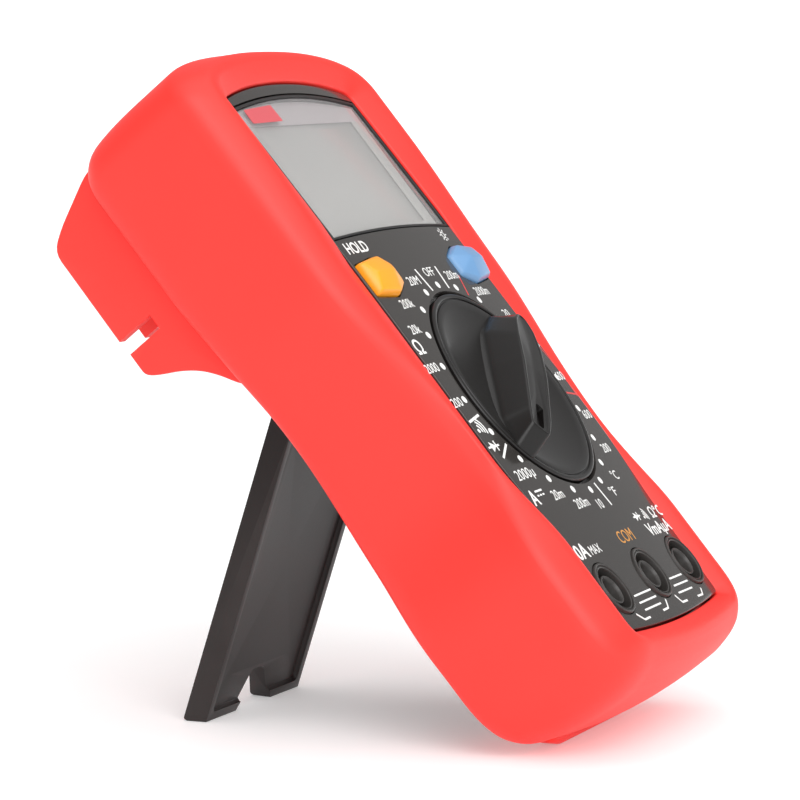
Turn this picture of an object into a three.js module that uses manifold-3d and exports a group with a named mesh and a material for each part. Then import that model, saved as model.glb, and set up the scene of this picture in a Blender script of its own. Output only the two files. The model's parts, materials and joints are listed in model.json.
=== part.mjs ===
// Palm-size digital multimeter in a rubber holster, standing on its open kickstand.
// Millimetres, +Z up. The meter is drawn upright in its own frame first: x to the right,
// y along its length towards the display, z out of the front panel, with the origin where
// the selector's axis meets the panel. One group then leans the whole meter back.

import * as THREE from 'three';
import { mergeVertices } from 'three/addons/utils/BufferGeometryUtils.js';
import Module from 'manifold-3d';

const wasm = await Module();
wasm.setup();

// ---------------------------------------------------------------- driving dimensions
const LEAN = THREE.MathUtils.degToRad(39.4);        // meter leaned back from upright
const STAND_OPEN = THREE.MathUtils.degToRad(57.1);  // kickstand swung out from the back
const GAP = 0.3;                                    // air between neighbouring pieces

const HOLSTER = {
  head: 38.5, waist: 30.5, foot: 35, waistY: -10, apex: 79.2, shoulder: 76, headRound: 8,
  bottom: -57.4, bow: 1, footRound: 10,
};
const OPENING = {
  head: 26.4, waist: 26.6, foot: 24.9, waistY: -10, apex: 70, shoulder: 67.6, headRound: 2,
  bottom: -49.1, bow: 1.3, footRound: 1.5,
};
const CREST = {
  head: 33.6, waist: 29.3, foot: 27.8, waistY: -10, apex: 75.4, shoulder: 72.4, headRound: 7,
  bottom: -52.2, bow: 1.6, footRound: 6,
};
const BACK_WINDOW = {
  head: 25, waist: 24.8, foot: 24.6, waistY: -10, apex: 34, shoulder: 34, headRound: 4,
  bottom: -41.5, bow: 0, footRound: 4,
};
const BACK_Z = -28;            // back face of the holster round the battery cover
// The holster's back edge as [y, z] points: slim at the waist, deepest above the heel.
const BACK_EDGE = [[-43, -29.4], [-14, -30.1], [20, -26.6], [45, -28.1]];
const CREST_Z = { waist: -0.8, head: 0.6, foot: 1.4 };  // height of the front lip along the meter
const CREASE_Z = -4.7;         // where the side face turns into the front bevel
const HOLSTER_WALL = 2.7;
const LIP_UNDERSIDE = -3.2;
const BACK_WALL = 2;
const CASE_WALL = 2;
const PANEL_THICKNESS = 2.2;
const SPLIT_Z = -13;           // joint between the front and the rear case
const DOME_ACROSS = 0.001;     // the panel falls away as these times x squared and y squared
const DOME_ALONG = 0.0002;

const DIAL_RADIUS = 23.5;      // circle of range marks
const KNOB = { radius: 0.88 * DIAL_RADIUS, rim: 0.15, floor: -1.05, under: -1.6, top: 5.25, turn: 36 };
const WELL = { radius: KNOB.radius + 0.4, floor: KNOB.under - GAP, boss: 22.6, under: -3.5 };
const SHAFT_RADIUS = 6;
const BUTTON = { x: 19.5, y: 26.3, halfLength: 5.5, endHalf: 2.3, midHalf: 4.2, rise: 2.1 };
const JACK = { y: -41, pitch: 0.804 * DIAL_RADIUS, radius: 5.2, bore: 4.3, contact: 2.8, contactBore: 2 };
const BOARD_TOP = -8.5;
const BOARD_BOTTOM = -10.1;
const BATTERY = { radius: 5.2, length: 44, z: -20.2, y: [-16.4, -27.6] };
const HATCH = { half: 22.6, top: -8.6, bottom: -40, screwY: -36.3 };
const BAY = { half: 24.5, top: -10.2, bottom: -33.8, wall: 1.3 };
const CASE_SCREWS = [[-28.5, 58], [28.5, 58], [-27.6, -37], [27.6, -37]];

const HINGE = { y: 18.8, z: -30.6, pin: 1.3, boss: 2.4 };
const STAND = { half: 20, wall: 1.8, plate: 0.2, outer: -2.4, inner: 2, rim: 3.4 };
const NOTCH = { foot: 8, top: 2.5, depth: 7.5 };  // trapezoid cut into the stand's foot
const GROUND = -60.5;          // height of the resting surface under the selector's axis
const HOLDER = { inner: 20.3, outer: 33, wall: 2.4, back: -42.2 };

// ---------------------------------------------------------------- small shape helpers
const RIGHT = new THREE.Vector3(1, 0, 0);
const ALONG = new THREE.Vector3(0, 1, 0);
const OUT = new THREE.Vector3(0, 0, 1);

function panelZ(x, y) {
  return -(DOME_ACROSS * x * x + DOME_ALONG * y * y);
}

function asSolid(geometry) {
  const bare = geometry.clone();
  for (const name of Object.keys(bare.attributes)) {
    if (name !== 'position') bare.deleteAttribute(name);
  }
  const merged = mergeVertices(bare, 1e-4);
  return new wasm.Manifold(new wasm.Mesh({
    numProp: 3,
    vertProperties: new Float32Array(merged.attributes.position.array),
    triVerts: new Uint32Array(merged.index.array),
  }));
}

function asGeometry(solid) {
  const mesh = solid.getMesh();
  const geometry = new THREE.BufferGeometry();
  geometry.setAttribute('position', new THREE.BufferAttribute(mesh.vertProperties, 3));
  geometry.setIndex(new THREE.BufferAttribute(mesh.triVerts, 1));
  return geometry;
}

function join(...geometries) {
  return asGeometry(geometries.map(asSolid).reduce((sum, next) => sum.add(next)));
}

function cut(geometry, ...tools) {
  return asGeometry(tools.reduce((rest, tool) => rest.subtract(asSolid(tool)), asSolid(geometry)));
}

function box(x0, x1, y0, y1, z0, z1) {
  const geometry = new THREE.BoxGeometry(x1 - x0, y1 - y0, z1 - z0);
  return geometry.translate((x0 + x1) / 2, (y0 + y1) / 2, (z0 + z1) / 2);
}

function rod(radius, x, y, z0, z1, sides = 24) {
  const geometry = new THREE.CylinderGeometry(radius, radius, z1 - z0, sides);
  return geometry.rotateX(Math.PI / 2).translate(x, y, (z0 + z1) / 2);
}

function crossRod(radius, x0, x1, y, z, sides = 16) {
  const geometry = new THREE.CylinderGeometry(radius, radius, x1 - x0, sides);
  return geometry.rotateZ(Math.PI / 2).translate((x0 + x1) / 2, y, z);
}

// A solid of revolution about z from [radius, z] points that start and end on the axis
// or, when closed, run once round the section of a ring.
function turned(points, sides = 32, closed = false) {
  const profile = points.map(([r, z]) => new THREE.Vector2(r, z));
  if (closed) profile.push(profile[0].clone());
  const geometry = new THREE.LatheGeometry(profile, sides);
  geometry.rotateX(Math.PI / 2);
  return outward(geometry);
}

function signedVolume(geometry) {
  const p = geometry.attributes.position;
  const order = geometry.index;
  const [a, b, c] = [new THREE.Vector3(), new THREE.Vector3(), new THREE.Vector3()];
  let sum = 0;
  for (let i = 0; i < order.count; i += 3) {
    a.fromBufferAttribute(p, order.getX(i));
    b.fromBufferAttribute(p, order.getX(i + 1));
    c.fromBufferAttribute(p, order.getX(i + 2));
    sum += a.dot(b.cross(c));
  }
  return sum;
}

function outward(geometry) {
  if (signedVolume(geometry) > 0) return geometry;
  const order = geometry.index;
  for (let i = 0; i < order.count; i += 3) {
    const swap = order.getX(i);
    order.setX(i, order.getX(i + 2));
    order.setX(i + 2, swap);
  }
  return geometry;
}

function prism(shape, z0, z1, curveSegments = 6) {
  const options = { depth: z1 - z0, bevelEnabled: false, curveSegments };
  return new THREE.ExtrudeGeometry(shape, options).translate(0, 0, z0);
}

// Extrudes an outline drawn in (y, z) across the meter from x0 to x1.
function acrossPrism(points, x0, x1) {
  const shape = new THREE.Shape(points.map(([y, z]) => new THREE.Vector2(y, z)));
  const geometry = prism(shape, x0, x1);
  return geometry.applyMatrix4(new THREE.Matrix4().makeBasis(ALONG, OUT, RIGHT));
}

function polygon(points) {
  return new THREE.Shape(points.map(([x, y]) => new THREE.Vector2(x, y)));
}

// ---------------------------------------------------------------- lofted outlines
// Every outline of the body has the same make-up, so any two of them can be lofted:
// an arched top, a rounded shoulder, a straight head, a waist, a foot and a bowed bottom.
function outline(o) {
  const headLow = Math.min(30, o.shoulder - o.headRound - 4);
  const footHigh = Math.max(-34, o.bottom + o.footRound + 4);
  const cornerLow = o.bottom + o.footRound;
  const pieces = [
    [[0, o.apex], [0.55 * o.head, o.apex], [o.head - o.headRound, o.shoulder], 4],
    [[o.head - o.headRound, o.shoulder], [o.head, o.shoulder - 0.3 * o.headRound],
      [o.head, o.shoulder - o.headRound], 3],
    [[o.head, o.shoulder - o.headRound], [o.head, headLow], 2],
    [[o.head, headLow], [o.head, headLow - 14], [o.waist, o.waistY + 16],
      [o.waist, o.waistY], 4],
    [[o.waist, o.waistY], [o.waist, o.waistY - 9], [o.foot, footHigh + 9],
      [o.foot, footHigh], 3],
    [[o.foot, footHigh], [o.foot, cornerLow], 1],
    [[o.foot, cornerLow], [o.foot, o.bottom], [o.foot - o.footRound, o.bottom], 3],
    [[o.foot - o.footRound, o.bottom], [0.5 * (o.foot - o.footRound), o.bottom - o.bow],
      [0, o.bottom - o.bow], 2],
  ];
  const half = [];
  for (const piece of pieces) {
    const steps = piece[piece.length - 1];
    const ends = piece.slice(0, -1).map(([x, y]) => new THREE.Vector2(x, y));
    const Curve = [null, null, THREE.LineCurve, THREE.QuadraticBezierCurve, THREE.CubicBezierCurve];
    const curve = new Curve[ends.length](...ends);
    half.push(...curve.getPoints(steps).slice(0, -1));
  }
  half.push(new THREE.Vector2(0, o.bottom - o.bow));
  const mirrored = half.slice(1, -1).reverse().map((p) => new THREE.Vector2(-p.x, p.y));
  return [...half, ...mirrored];
}

function inset(o, by, rise = 0, drop = 0) {
  return {
    ...o,
    head: o.head - by,
    waist: o.waist - by,
    foot: o.foot - by,
    apex: o.apex - by - drop,
    shoulder: o.shoulder - by - drop,
    bottom: o.bottom + by + rise,
    headRound: Math.max(o.headRound - by, 1),
    footRound: Math.max(o.footRound - by, 1),
  };
}

function ring(o, z) {
  return outline(o).map((p) => new THREE.Vector3(p.x, p.y, typeof z === 'function' ? z(p.x, p.y) : z));
}

function scaledRing(o, scale, middle, z) {
  return outline(o).map((p) => {
    const x = p.x * scale;
    const y = middle + (p.y - middle) * scale;
    return new THREE.Vector3(x, y, z(x, y));
  });
}

// Skins a stack of equal rings and closes both ends with a fan round a middle point.
function skinned(rings, firstMiddle, lastMiddle) {
  const count = rings[0].length;
  const points = [firstMiddle, ...rings.flat(), lastMiddle];
  const faces = [];
  const last = points.length - 1;
  const at = (level, i) => 1 + level * count + (i % count);
  for (let i = 0; i < count; i += 1) {
    faces.push(0, at(0, i), at(0, i + 1));
    faces.push(last, at(rings.length - 1, i + 1), at(rings.length - 1, i));
    for (let level = 0; level < rings.length - 1; level += 1) {
      faces.push(at(level, i), at(level + 1, i), at(level + 1, i + 1));
      faces.push(at(level, i), at(level + 1, i + 1), at(level, i + 1));
    }
  }
  const geometry = new THREE.BufferGeometry().setFromPoints(points);
  geometry.setIndex(faces);
  return outward(geometry);
}

// Height at a place on a smooth curve through [place, height] points, level past its ends.
function heightOn(points, place) {
  const next = points.findIndex(([at]) => at >= place);
  if (next === 0) return points[0][1];
  if (next < 0) return points[points.length - 1][1];
  const [[from, low], [to, high]] = [points[next - 1], points[next]];
  return low + (high - low) * THREE.MathUtils.smoothstep(place, from, to);
}

function middleOf(y, z) {
  return new THREE.Vector3(0, y, z);
}

// ---------------------------------------------------------------- materials and assembly
const PAINTS = {
  red_rubber: ['#ff4a42', 0.55, 0],
  black_panel: ['#3b3a39', 0.3, 0],
  black_plastic: ['#2e2c2a', 0.45, 0],
  knob_plastic: ['#2c2a28', 0.4, 0],
  yellow_button: ['#ffb81f', 0.4, 0],
  blue_button: ['#5c94d6', 0.4, 0],
  clear_window: ['#c9cbc8', 0.08, 0],
  lcd_glass: ['#b4b5b0', 0.2, 0],
  white_plastic: ['#e8e8e4', 0.5, 0],
  board_green: ['#1f5a3a', 0.5, 0],
  brass: ['#c9a24a', 0.3, 1],
  steel: ['#b8bbbd', 0.3, 1],
  grey_rubber: ['#4a4a4c', 0.7, 0],
  epoxy_black: ['#151515', 0.35, 0],
  glass: ['#dfe6e6', 0.05, 0],
  battery_sleeve: ['#3a6f4f', 0.4, 0.2],
  copper: ['#b8743c', 0.35, 1],
};

const meter = new THREE.Group();

function add(name, paint, geometry, parent = meter) {
  const [color, roughness, metalness] = PAINTS[paint];
  const material = new THREE.MeshStandardMaterial({ color, roughness, metalness });
  const mesh = new THREE.Mesh(geometry, material);
  mesh.name = name;
  parent.add(mesh);
  return mesh;
}

// ---------------------------------------------------------------- holster
// Levels of the hollow that the case fills: height, extra inset, raised bottom, lowered top.
const CASE_LEVELS = [
  { z: LIP_UNDERSIDE, by: 1.2, rise: 0, drop: 0 },
  { z: LIP_UNDERSIDE - 1.2, by: 0, rise: 0, drop: 0 },
  { z: -16, by: 0, rise: 1.8, drop: 0 },
  { z: -22, by: 0, rise: 6.5, drop: 0 },
  { z: BACK_Z + BACK_WALL, by: 1.5, rise: 12, drop: 2 },
];

function caseOutline(level, wall) {
  return inset(HOLSTER, wall + level.by, level.rise, level.drop);
}

function caseLevelAt(z) {
  const below = CASE_LEVELS.findIndex((level) => level.z <= z);
  const [a, b] = [CASE_LEVELS[below - 1], CASE_LEVELS[below]];
  const t = (a.z - z) / (a.z - b.z);
  const mix = (key) => a[key] + t * (b[key] - a[key]);
  return { z, by: mix('by'), rise: mix('rise'), drop: mix('drop') };
}

function holsterHollow() {
  const rings = CASE_LEVELS.map((level) => ring(caseOutline(level, HOLSTER_WALL), level.z));
  const low = BACK_Z + BACK_WALL;
  return skinned(rings, middleOf(0, LIP_UNDERSIDE), middleOf(0, low));
}

function holsterOutside() {
  const crestZ = (x, y) => {
    const [end, reach] = y > HOLSTER.waistY ? [CREST_Z.head, 30] : [CREST_Z.foot, 22];
    return CREST_Z.waist + (end - CREST_Z.waist) * Math.min(1, Math.abs(y - HOLSTER.waistY) / reach);
  };
  const backZ = (x, y) => heightOn(BACK_EDGE, y);
  const rings = [
    ring(inset(BACK_WINDOW, -0.6), (x, y) => 0.5 * (backZ(x, y) + BACK_Z)),
    ring(inset(HOLSTER, 1.8, 4.2, 1.6), backZ),
    ring(inset(HOLSTER, 0.4, 2.8, 0.5), (x, y) => backZ(x, y) + 2.6),
    ring(inset(HOLSTER, 0, 0.7, 0), BACK_Z + 9),
    ring(HOLSTER, -9),
    ring(inset(HOLSTER, 0, 0.9), CREASE_Z),
    ring(inset(HOLSTER, 1, 1.2, 1.1), CREASE_Z + 2.9),
    ring(CREST, crestZ),
    ring(OPENING, (x, y) => panelZ(x, y) - 0.25),
  ];
  return skinned(rings, middleOf(0, BACK_Z), middleOf(0, -1.4));
}

// Two blocks on the back of the head hold the test probes; a slot takes the finger guard.
const GUARD_SLOT = { y: [42.5, 45.5], floor: -34.3 };
const HOLDER_PROFILE = [
  [72.2, -26], [72.2, -27.5], [68.1, -38.1], [66.9, -41.1], [65.2, HOLDER.back],
  [GUARD_SLOT.y[1], HOLDER.back], [GUARD_SLOT.y[1], GUARD_SLOT.floor],
  [GUARD_SLOT.y[0], GUARD_SLOT.floor], [GUARD_SLOT.y[0], HOLDER.back + 0.4],
  [37.7, HOLDER.back + 0.4], [36.2, -39.5], [34.4, -36], [32.1, -32.9], [29.1, -30.4],
  [25.7, -28.3], [24.6, -26],
];

function probeHolder(side) {
  const [x0, x1] = side > 0 ? [HOLDER.inner, HOLDER.outer] : [-HOLDER.outer, -HOLDER.inner];
  return acrossPrism(HOLDER_PROFILE, x0, x1);
}

function probeChannel(side) {
  const [x0, x1] = [HOLDER.inner + HOLDER.wall, HOLDER.outer - HOLDER.wall];
  const floor = BACK_Z - 2.2;
  return side > 0 ? box(x0, x1, 20, 80, -50, floor) : box(-x1, -x0, 20, 80, -50, floor);
}

// The heel pad ends in a flat facet that lies on the resting surface.
const HEEL = { half: 18.5, facet: [-53.4, -56.3] };
function heelPad() {
  const down = (y) => (GROUND - Math.cos(LEAN) * y) / Math.sin(LEAN);
  const [back, front] = HEEL.facet;
  const profile = [[-47, -27], [back + 1.4, down(back)], [back, down(back)], [front, down(front)],
    [front - 0.9, down(front) + 1.6], [-50, -22]];
  return acrossPrism(profile, -HEEL.half, HEEL.half);
}

function holster() {
  const body = join(holsterOutside(), probeHolder(1), probeHolder(-1), heelPad());
  const opening = prism(new THREE.Shape(outline(OPENING)), -8, 8);
  const backWindow = prism(new THREE.Shape(outline(BACK_WINDOW)), BACK_Z - 20, BACK_Z + 6);
  return cut(body, holsterHollow(), opening, backWindow, probeChannel(1), probeChannel(-1));
}

add('holster', 'red_rubber', holster());

// ---------------------------------------------------------------- case
const CASE_FIT = HOLSTER_WALL + GAP;
const LCD_CUT = { half: 20.5, y0: 38.6, y1: 60.4 };
const LENS = {
  head: 24.4, apex: 66.5, shoulder: 64.4, bottom: 36, bow: -0.6, under: -1.9,
};
const GASKET = 0.7;

function lensOutline(o) {
  const shape = new THREE.Shape();
  shape.moveTo(-o.head, o.bottom);
  shape.quadraticCurveTo(0, o.bottom - 2 * o.bow, o.head, o.bottom);
  shape.lineTo(o.head, o.shoulder);
  shape.quadraticCurveTo(0, 2 * o.apex - o.shoulder, -o.head, o.shoulder);
  return shape;
}

// Six-sided button outline: blunt ends, widest in the middle, grown by a margin.
function buttonOutline(grow) {
  const { halfLength, endHalf, midHalf } = BUTTON;
  const [along, end, mid] = [halfLength + grow, endHalf + grow / 2, midHalf + grow];
  return [[-along, -end], [0, -mid], [along, -end], [along, end], [0, mid], [-along, end]];
}

function buttonHole(side) {
  const hole = prism(polygon(buttonOutline(GAP)), -8, 4);
  return hole.translate(side * BUTTON.x, BUTTON.y, 0);
}

function jackX(i) {
  return (i - 1) * JACK.pitch;
}

function frontCase() {
  const plateau = inset(OPENING, 0.35);
  const under = inset(OPENING, 1.1);
  const roof = (x, y) => panelZ(x, y) - PANEL_THICKNESS;
  const lid = CASE_LEVELS[1];
  const split = caseLevelAt(SPLIT_Z);
  const shoulderZ = LIP_UNDERSIDE - GAP;
  const middle = 8;
  const rings = [
    scaledRing(plateau, 0.3, middle, panelZ),
    scaledRing(plateau, 0.65, middle, panelZ),
    ring(plateau, panelZ),
    ring(plateau, shoulderZ),
    ring(caseOutline(CASE_LEVELS[0], CASE_FIT), shoulderZ),
    ring(caseOutline(lid, CASE_FIT), lid.z - GAP),
    ring(caseOutline(split, CASE_FIT), SPLIT_Z),
    ring(caseOutline(split, CASE_FIT + CASE_WALL), SPLIT_Z),
    ring(caseOutline(lid, CASE_FIT + CASE_WALL), shoulderZ - CASE_WALL),
    ring(under, shoulderZ - CASE_WALL),
    ring(under, roof),
    scaledRing(under, 0.65, middle, roof),
    scaledRing(under, 0.3, middle, roof),
  ];
  const shell = skinned(rings, middleOf(middle, panelZ(0, middle)), middleOf(middle, roof(0, middle)));
  const bosses = CASE_SCREWS.map(([x, y]) => rod(2.6, x, y, SPLIT_Z, shoulderZ - 1, 16));
  const pilots = CASE_SCREWS.map(([x, y]) => rod(1.7, x, y, -16, shoulderZ - 3.4, 12));
  const jackHoles = [0, 1, 2].map((i) => rod(JACK.radius + GAP, jackX(i), JACK.y, -8, 4, 24));
  const lensSeat = prism(lensOutline({ ...LENS, head: LENS.head + GASKET + GAP,
    apex: LENS.apex + GASKET + GAP, shoulder: LENS.shoulder + GASKET + GAP,
    bottom: LENS.bottom - GASKET - GAP }), LENS.under - GAP, 4, 8);
  const lcdCut = box(-LCD_CUT.half, LCD_CUT.half, LCD_CUT.y0, LCD_CUT.y1, -8, 4);
  const wellBoss = rod(WELL.boss, 0, 0, WELL.under, WELL.floor + 0.7, 48);
  const well = rod(WELL.radius, 0, 0, WELL.floor, 4, 48);
  const shaftHole = rod(SHAFT_RADIUS + 2 * GAP, 0, 0, -8, 4, 24);
  return cut(join(shell, wellBoss, ...bosses), ...pilots, ...jackHoles, lensSeat, lcdCut, well,
    shaftHole, buttonHole(-1), buttonHole(1));
}

add('front_case', 'black_panel', frontCase());

const FLOOR_THICKNESS = 3;
const BAY_ROOF = -13.4;
const COVER_TOP = -26.2;

function rearCase() {
  const plateau = inset(BACK_WINDOW, 0.35);
  const levels = CASE_LEVELS;
  const floorZ = BACK_Z + 0.2;
  const shoulderZ = BACK_Z + BACK_WALL + GAP;
  const split = caseLevelAt(SPLIT_Z - GAP);
  const rings = [
    ring(plateau, floorZ),
    ring(plateau, shoulderZ),
    ring(caseOutline(levels[4], CASE_FIT), shoulderZ),
    ring(caseOutline(levels[3], CASE_FIT), levels[3].z),
    ring(caseOutline(levels[2], CASE_FIT), levels[2].z),
    ring(caseOutline(split, CASE_FIT), SPLIT_Z - GAP),
    ring(caseOutline(split, CASE_FIT + CASE_WALL), SPLIT_Z - GAP),
    ring(caseOutline(levels[2], CASE_FIT + CASE_WALL), levels[2].z),
    ring(caseOutline(levels[3], CASE_FIT + CASE_WALL), levels[3].z),
    ring(caseOutline(levels[4], CASE_FIT + CASE_WALL), shoulderZ + CASE_WALL),
    ring(inset(plateau, CASE_WALL), shoulderZ + CASE_WALL),
    ring(inset(plateau, CASE_WALL), floorZ + FLOOR_THICKNESS),
  ];
  const shell = skinned(rings, middleOf(0, floorZ), middleOf(0, floorZ + FLOOR_THICKNESS));
  const { half, top, bottom, wall } = BAY;
  const bay = box(-half - wall, half + wall, bottom - wall, top + wall, -25.6, BAY_ROOF);
  const bayHollow = box(-half, half, bottom, top, -25.2, BAY_ROOF - wall);
  const wayIn = box(-HATCH.half, HATCH.half, bottom, top, -30, -24);
  const hatchSeat = box(-HATCH.half, HATCH.half, HATCH.bottom, HATCH.top, -30, COVER_TOP + GAP);
  const pillars = CASE_SCREWS.map(([x, y]) => rod(2.9, x, y, -25.3, -15, 16));
  const clearances = CASE_SCREWS.map(([x, y]) => rod(1.7, x, y, -30, -10, 12));
  const headWells = CASE_SCREWS.map(([x, y]) => rod(2.5, x, y, -30, -22.8, 14));
  const lugs = [-16.4, 16.4].map((x) => hingeLug(x));
  const pinHoles = crossRod(HINGE.pin + 0.35, -19, 19, HINGE.y, HINGE.z, 16);
  const coverBoss = rod(3, 0, HATCH.screwY, -25.4, -21.1, 16);
  const coverPilot = rod(1.5, 0, HATCH.screwY, -30, -20, 12);
  const solid = join(shell, bay, coverBoss, ...pillars, ...lugs);
  return cut(solid, bayHollow, wayIn, hatchSeat, ...clearances, ...headWells, pinHoles, coverPilot);
}

function hingeLug(x) {
  const shape = new THREE.Shape();
  shape.moveTo(HINGE.y + HINGE.boss, BACK_Z + 1.4);
  shape.lineTo(HINGE.y + HINGE.boss, HINGE.z);
  shape.absarc(HINGE.y, HINGE.z, HINGE.boss, 0, Math.PI, true);
  shape.lineTo(HINGE.y - HINGE.boss, BACK_Z + 1.4);
  const geometry = prism(shape, x - 1.2, x + 1.2, 8);
  return geometry.applyMatrix4(new THREE.Matrix4().makeBasis(ALONG, OUT, RIGHT));
}

add('rear_case', 'black_plastic', rearCase());

function batteryCover() {
  const half = HATCH.half - GAP;
  const plate = box(-half, half, HATCH.bottom + GAP, HATCH.top - GAP, BACK_Z + 0.2, COVER_TOP);
  return cut(plate, rod(1.6, 0, HATCH.screwY, -30, -20, 14), rod(2.9, 0, HATCH.screwY, -30, -26.9, 16));
}

add('battery_cover', 'black_plastic', batteryCover());

function screw(x, y, headZ, headHeight, headRadius, shankRadius, length) {
  const profile = [
    [0, headZ], [headRadius, headZ], [headRadius, headZ + headHeight], [shankRadius, headZ + headHeight],
    [shankRadius, headZ + length - 1], [0, headZ + length],
  ];
  const slot = box(x - 1.6, x + 1.6, y - 0.4, y + 0.4, headZ - 1, headZ + 0.5 * headHeight);
  return cut(turned(profile, 12).translate(x, y, 0), slot);
}

CASE_SCREWS.forEach(([x, y], i) => {
  add(`case_screw_${i + 1}`, 'steel', screw(x, y, -24.8, 1.4, 2.15, 1.3, 13.8));
});
add('battery_cover_screw', 'steel', screw(0, HATCH.screwY, -27.7, 0.5, 2.4, 1.15, 6));

// ---------------------------------------------------------------- display
function lens() {
  const deep = prism(lensOutline(LENS), LENS.under, 2, 8);
  const above = skinned([
    ring(inset(OPENING, -4), panelZ),
    ring(inset(OPENING, -4), 8),
  ], middleOf(45, panelZ(0, 45)), middleOf(45, 8));
  return cut(deep, above);
}

function gasket() {
  const edge = (by) => lensOutline({ ...LENS, head: LENS.head + by, apex: LENS.apex + by,
    shoulder: LENS.shoulder + by, bottom: LENS.bottom - by });
  const band = cut(prism(edge(GASKET), LENS.under, 2, 8), prism(edge(0.25), -4, 4, 8));
  const above = skinned([
    ring(inset(OPENING, -4), (x, y) => panelZ(x, y) - 0.15),
    ring(inset(OPENING, -4), 8),
  ], middleOf(45, panelZ(0, 45)), middleOf(45, 8));
  return cut(band, above);
}

add('display_window', 'clear_window', lens());
add('window_gasket', 'grey_rubber', gasket());

// The display glass lies under the window, its lamp plate behind it and both in one frame,
// with an elastic contact strip along each long edge down to the board.
const LCD = { y: 49.5, halfX: 22, halfY: 12, top: -3.75, bottom: -5.35 };
const LCD_FRAME = { halfX: 23.6, halfY: 13.2, top: LCD.top - 0.8, bottom: BOARD_TOP + GAP };

function displayBox(halfX, halfY, low, high, y = LCD.y) {
  return box(-halfX, halfX, y - halfY, y + halfY, low, high);
}

add('lcd_panel', 'lcd_glass', displayBox(LCD.halfX, LCD.halfY, LCD.bottom, LCD.top));
add('backlight_plate', 'white_plastic', displayBox(21, 9.1, LCD.bottom - GAP - 1.2, LCD.bottom - GAP));
add('lcd_frame', 'white_plastic', cut(
  displayBox(LCD_FRAME.halfX, LCD_FRAME.halfY, LCD_FRAME.bottom, LCD_FRAME.top),
  displayBox(LCD.halfX + GAP, LCD.halfY + GAP, LCD_FRAME.bottom - 1, LCD_FRAME.top + 1),
));
[['zebra_strip_upper', 1], ['zebra_strip_lower', -1]].forEach(([name, side]) => {
  const strip = displayBox(20.5, 1, BOARD_TOP + GAP, LCD.bottom - GAP, LCD.y + side * 10.8);
  add(name, 'grey_rubber', strip);
});

// ---------------------------------------------------------------- circuit board and what it carries
function circuitBoard() {
  const plate = box(-24.3, 24.3, -49, 64, BOARD_BOTTOM, BOARD_TOP);
  const contacts = [0, 1, 2].map((i) => rod(JACK.contact + GAP, jackX(i), JACK.y, -12, -6, 16));
  const cornerCuts = CASE_SCREWS.map(([x, y]) => rod(3.5, x, y, -12, -6, 16));
  return cut(plate, ...contacts, ...cornerCuts);
}

add('circuit_board', 'board_green', circuitBoard());

['left', 'centre', 'right'].forEach((place, i) => {
  const x = jackX(i);
  const top = panelZ(x, JACK.y) + 0.35;
  const low = BOARD_TOP + GAP;
  const sleeve = [[JACK.bore, low], [JACK.radius, low], [JACK.radius, top - 0.3],
    [JACK.radius - 0.3, top], [JACK.bore + 0.3, top], [JACK.bore, top - 0.4]];
  add(`jack_sleeve_${place}`, 'black_plastic', turned(sleeve, 24, true).translate(x, JACK.y, 0));
  const contact = [[0, -20.5], [JACK.contact, -20.5], [JACK.contact, -1.5], [JACK.contact - 0.2, -1.2],
    [JACK.contactBore, -1.2], [JACK.contactBore, -19], [0, -19]];
  add(`jack_contact_${place}`, 'brass', turned(contact, 16).translate(x, JACK.y, 0));
});

const FUSE = { y: -27.6, z: -5.3, half: 10 };
add('fuse', 'glass', join(
  crossRod(2.2, -FUSE.half, FUSE.half, FUSE.y, FUSE.z, 16),
  crossRod(2.35, -FUSE.half, -FUSE.half + 5, FUSE.y, FUSE.z, 16),
  crossRod(2.35, FUSE.half - 5, FUSE.half, FUSE.y, FUSE.z, 16),
));
[-1, 1].forEach((side) => {
  const x = side * (FUSE.half - 2.5);
  const clip = cut(
    box(x - 2, x + 2, FUSE.y - 3.2, FUSE.y + 3.2, BOARD_TOP + GAP, FUSE.z + 1.2),
    crossRod(2.7, x - 3, x + 3, FUSE.y, FUSE.z, 16),
    box(x - 3, x + 3, FUSE.y - 2.2, FUSE.y + 2.2, FUSE.z, 0),
  );
  add(side < 0 ? 'fuse_clip_left' : 'fuse_clip_right', 'brass', clip);
});

add('buzzer', 'epoxy_black', turned([[0, -13.9], [5.6, -13.9], [6, -13.5], [6, -10.4], [0, -10.4]], 24)
  .translate(12, 48, 0));
add('meter_chip', 'epoxy_black', turned([[0, -12], [4, -11.7], [6, -10.9], [6.4, -10.4], [0, -10.4]], 20)
  .translate(-2, 18, 0));
add('calibration_trimmer', 'yellow_button', box(12, 18, 24, 30, -14.4, -10.4));
add('shunt_wire', 'copper', shuntWire());

function shuntWire() {
  const lowZ = -15.5;
  const [x0, x1] = [-JACK.pitch + 5, -5];
  const route = new THREE.CatmullRomCurve3([
    new THREE.Vector3(x0, -44, BOARD_BOTTOM - GAP),
    new THREE.Vector3(x0, -44, -12.5),
    new THREE.Vector3(x0 + 2, -44, lowZ),
    new THREE.Vector3(x1 - 2, -44, lowZ),
    new THREE.Vector3(x1, -44, -12.5),
    new THREE.Vector3(x1, -44, BOARD_BOTTOM - GAP),
  ]);
  const section = new THREE.Shape().absarc(0, 0, 0.8, 0, 2 * Math.PI);
  const options = { steps: 16, bevelEnabled: false, extrudePath: route, curveSegments: 4 };
  return new THREE.ExtrudeGeometry(section, options);
}

// ---------------------------------------------------------------- selector: knob and rotor
const knob = new THREE.Group();
knob.rotation.z = THREE.MathUtils.degToRad(KNOB.turn);
meter.add(knob);

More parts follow.
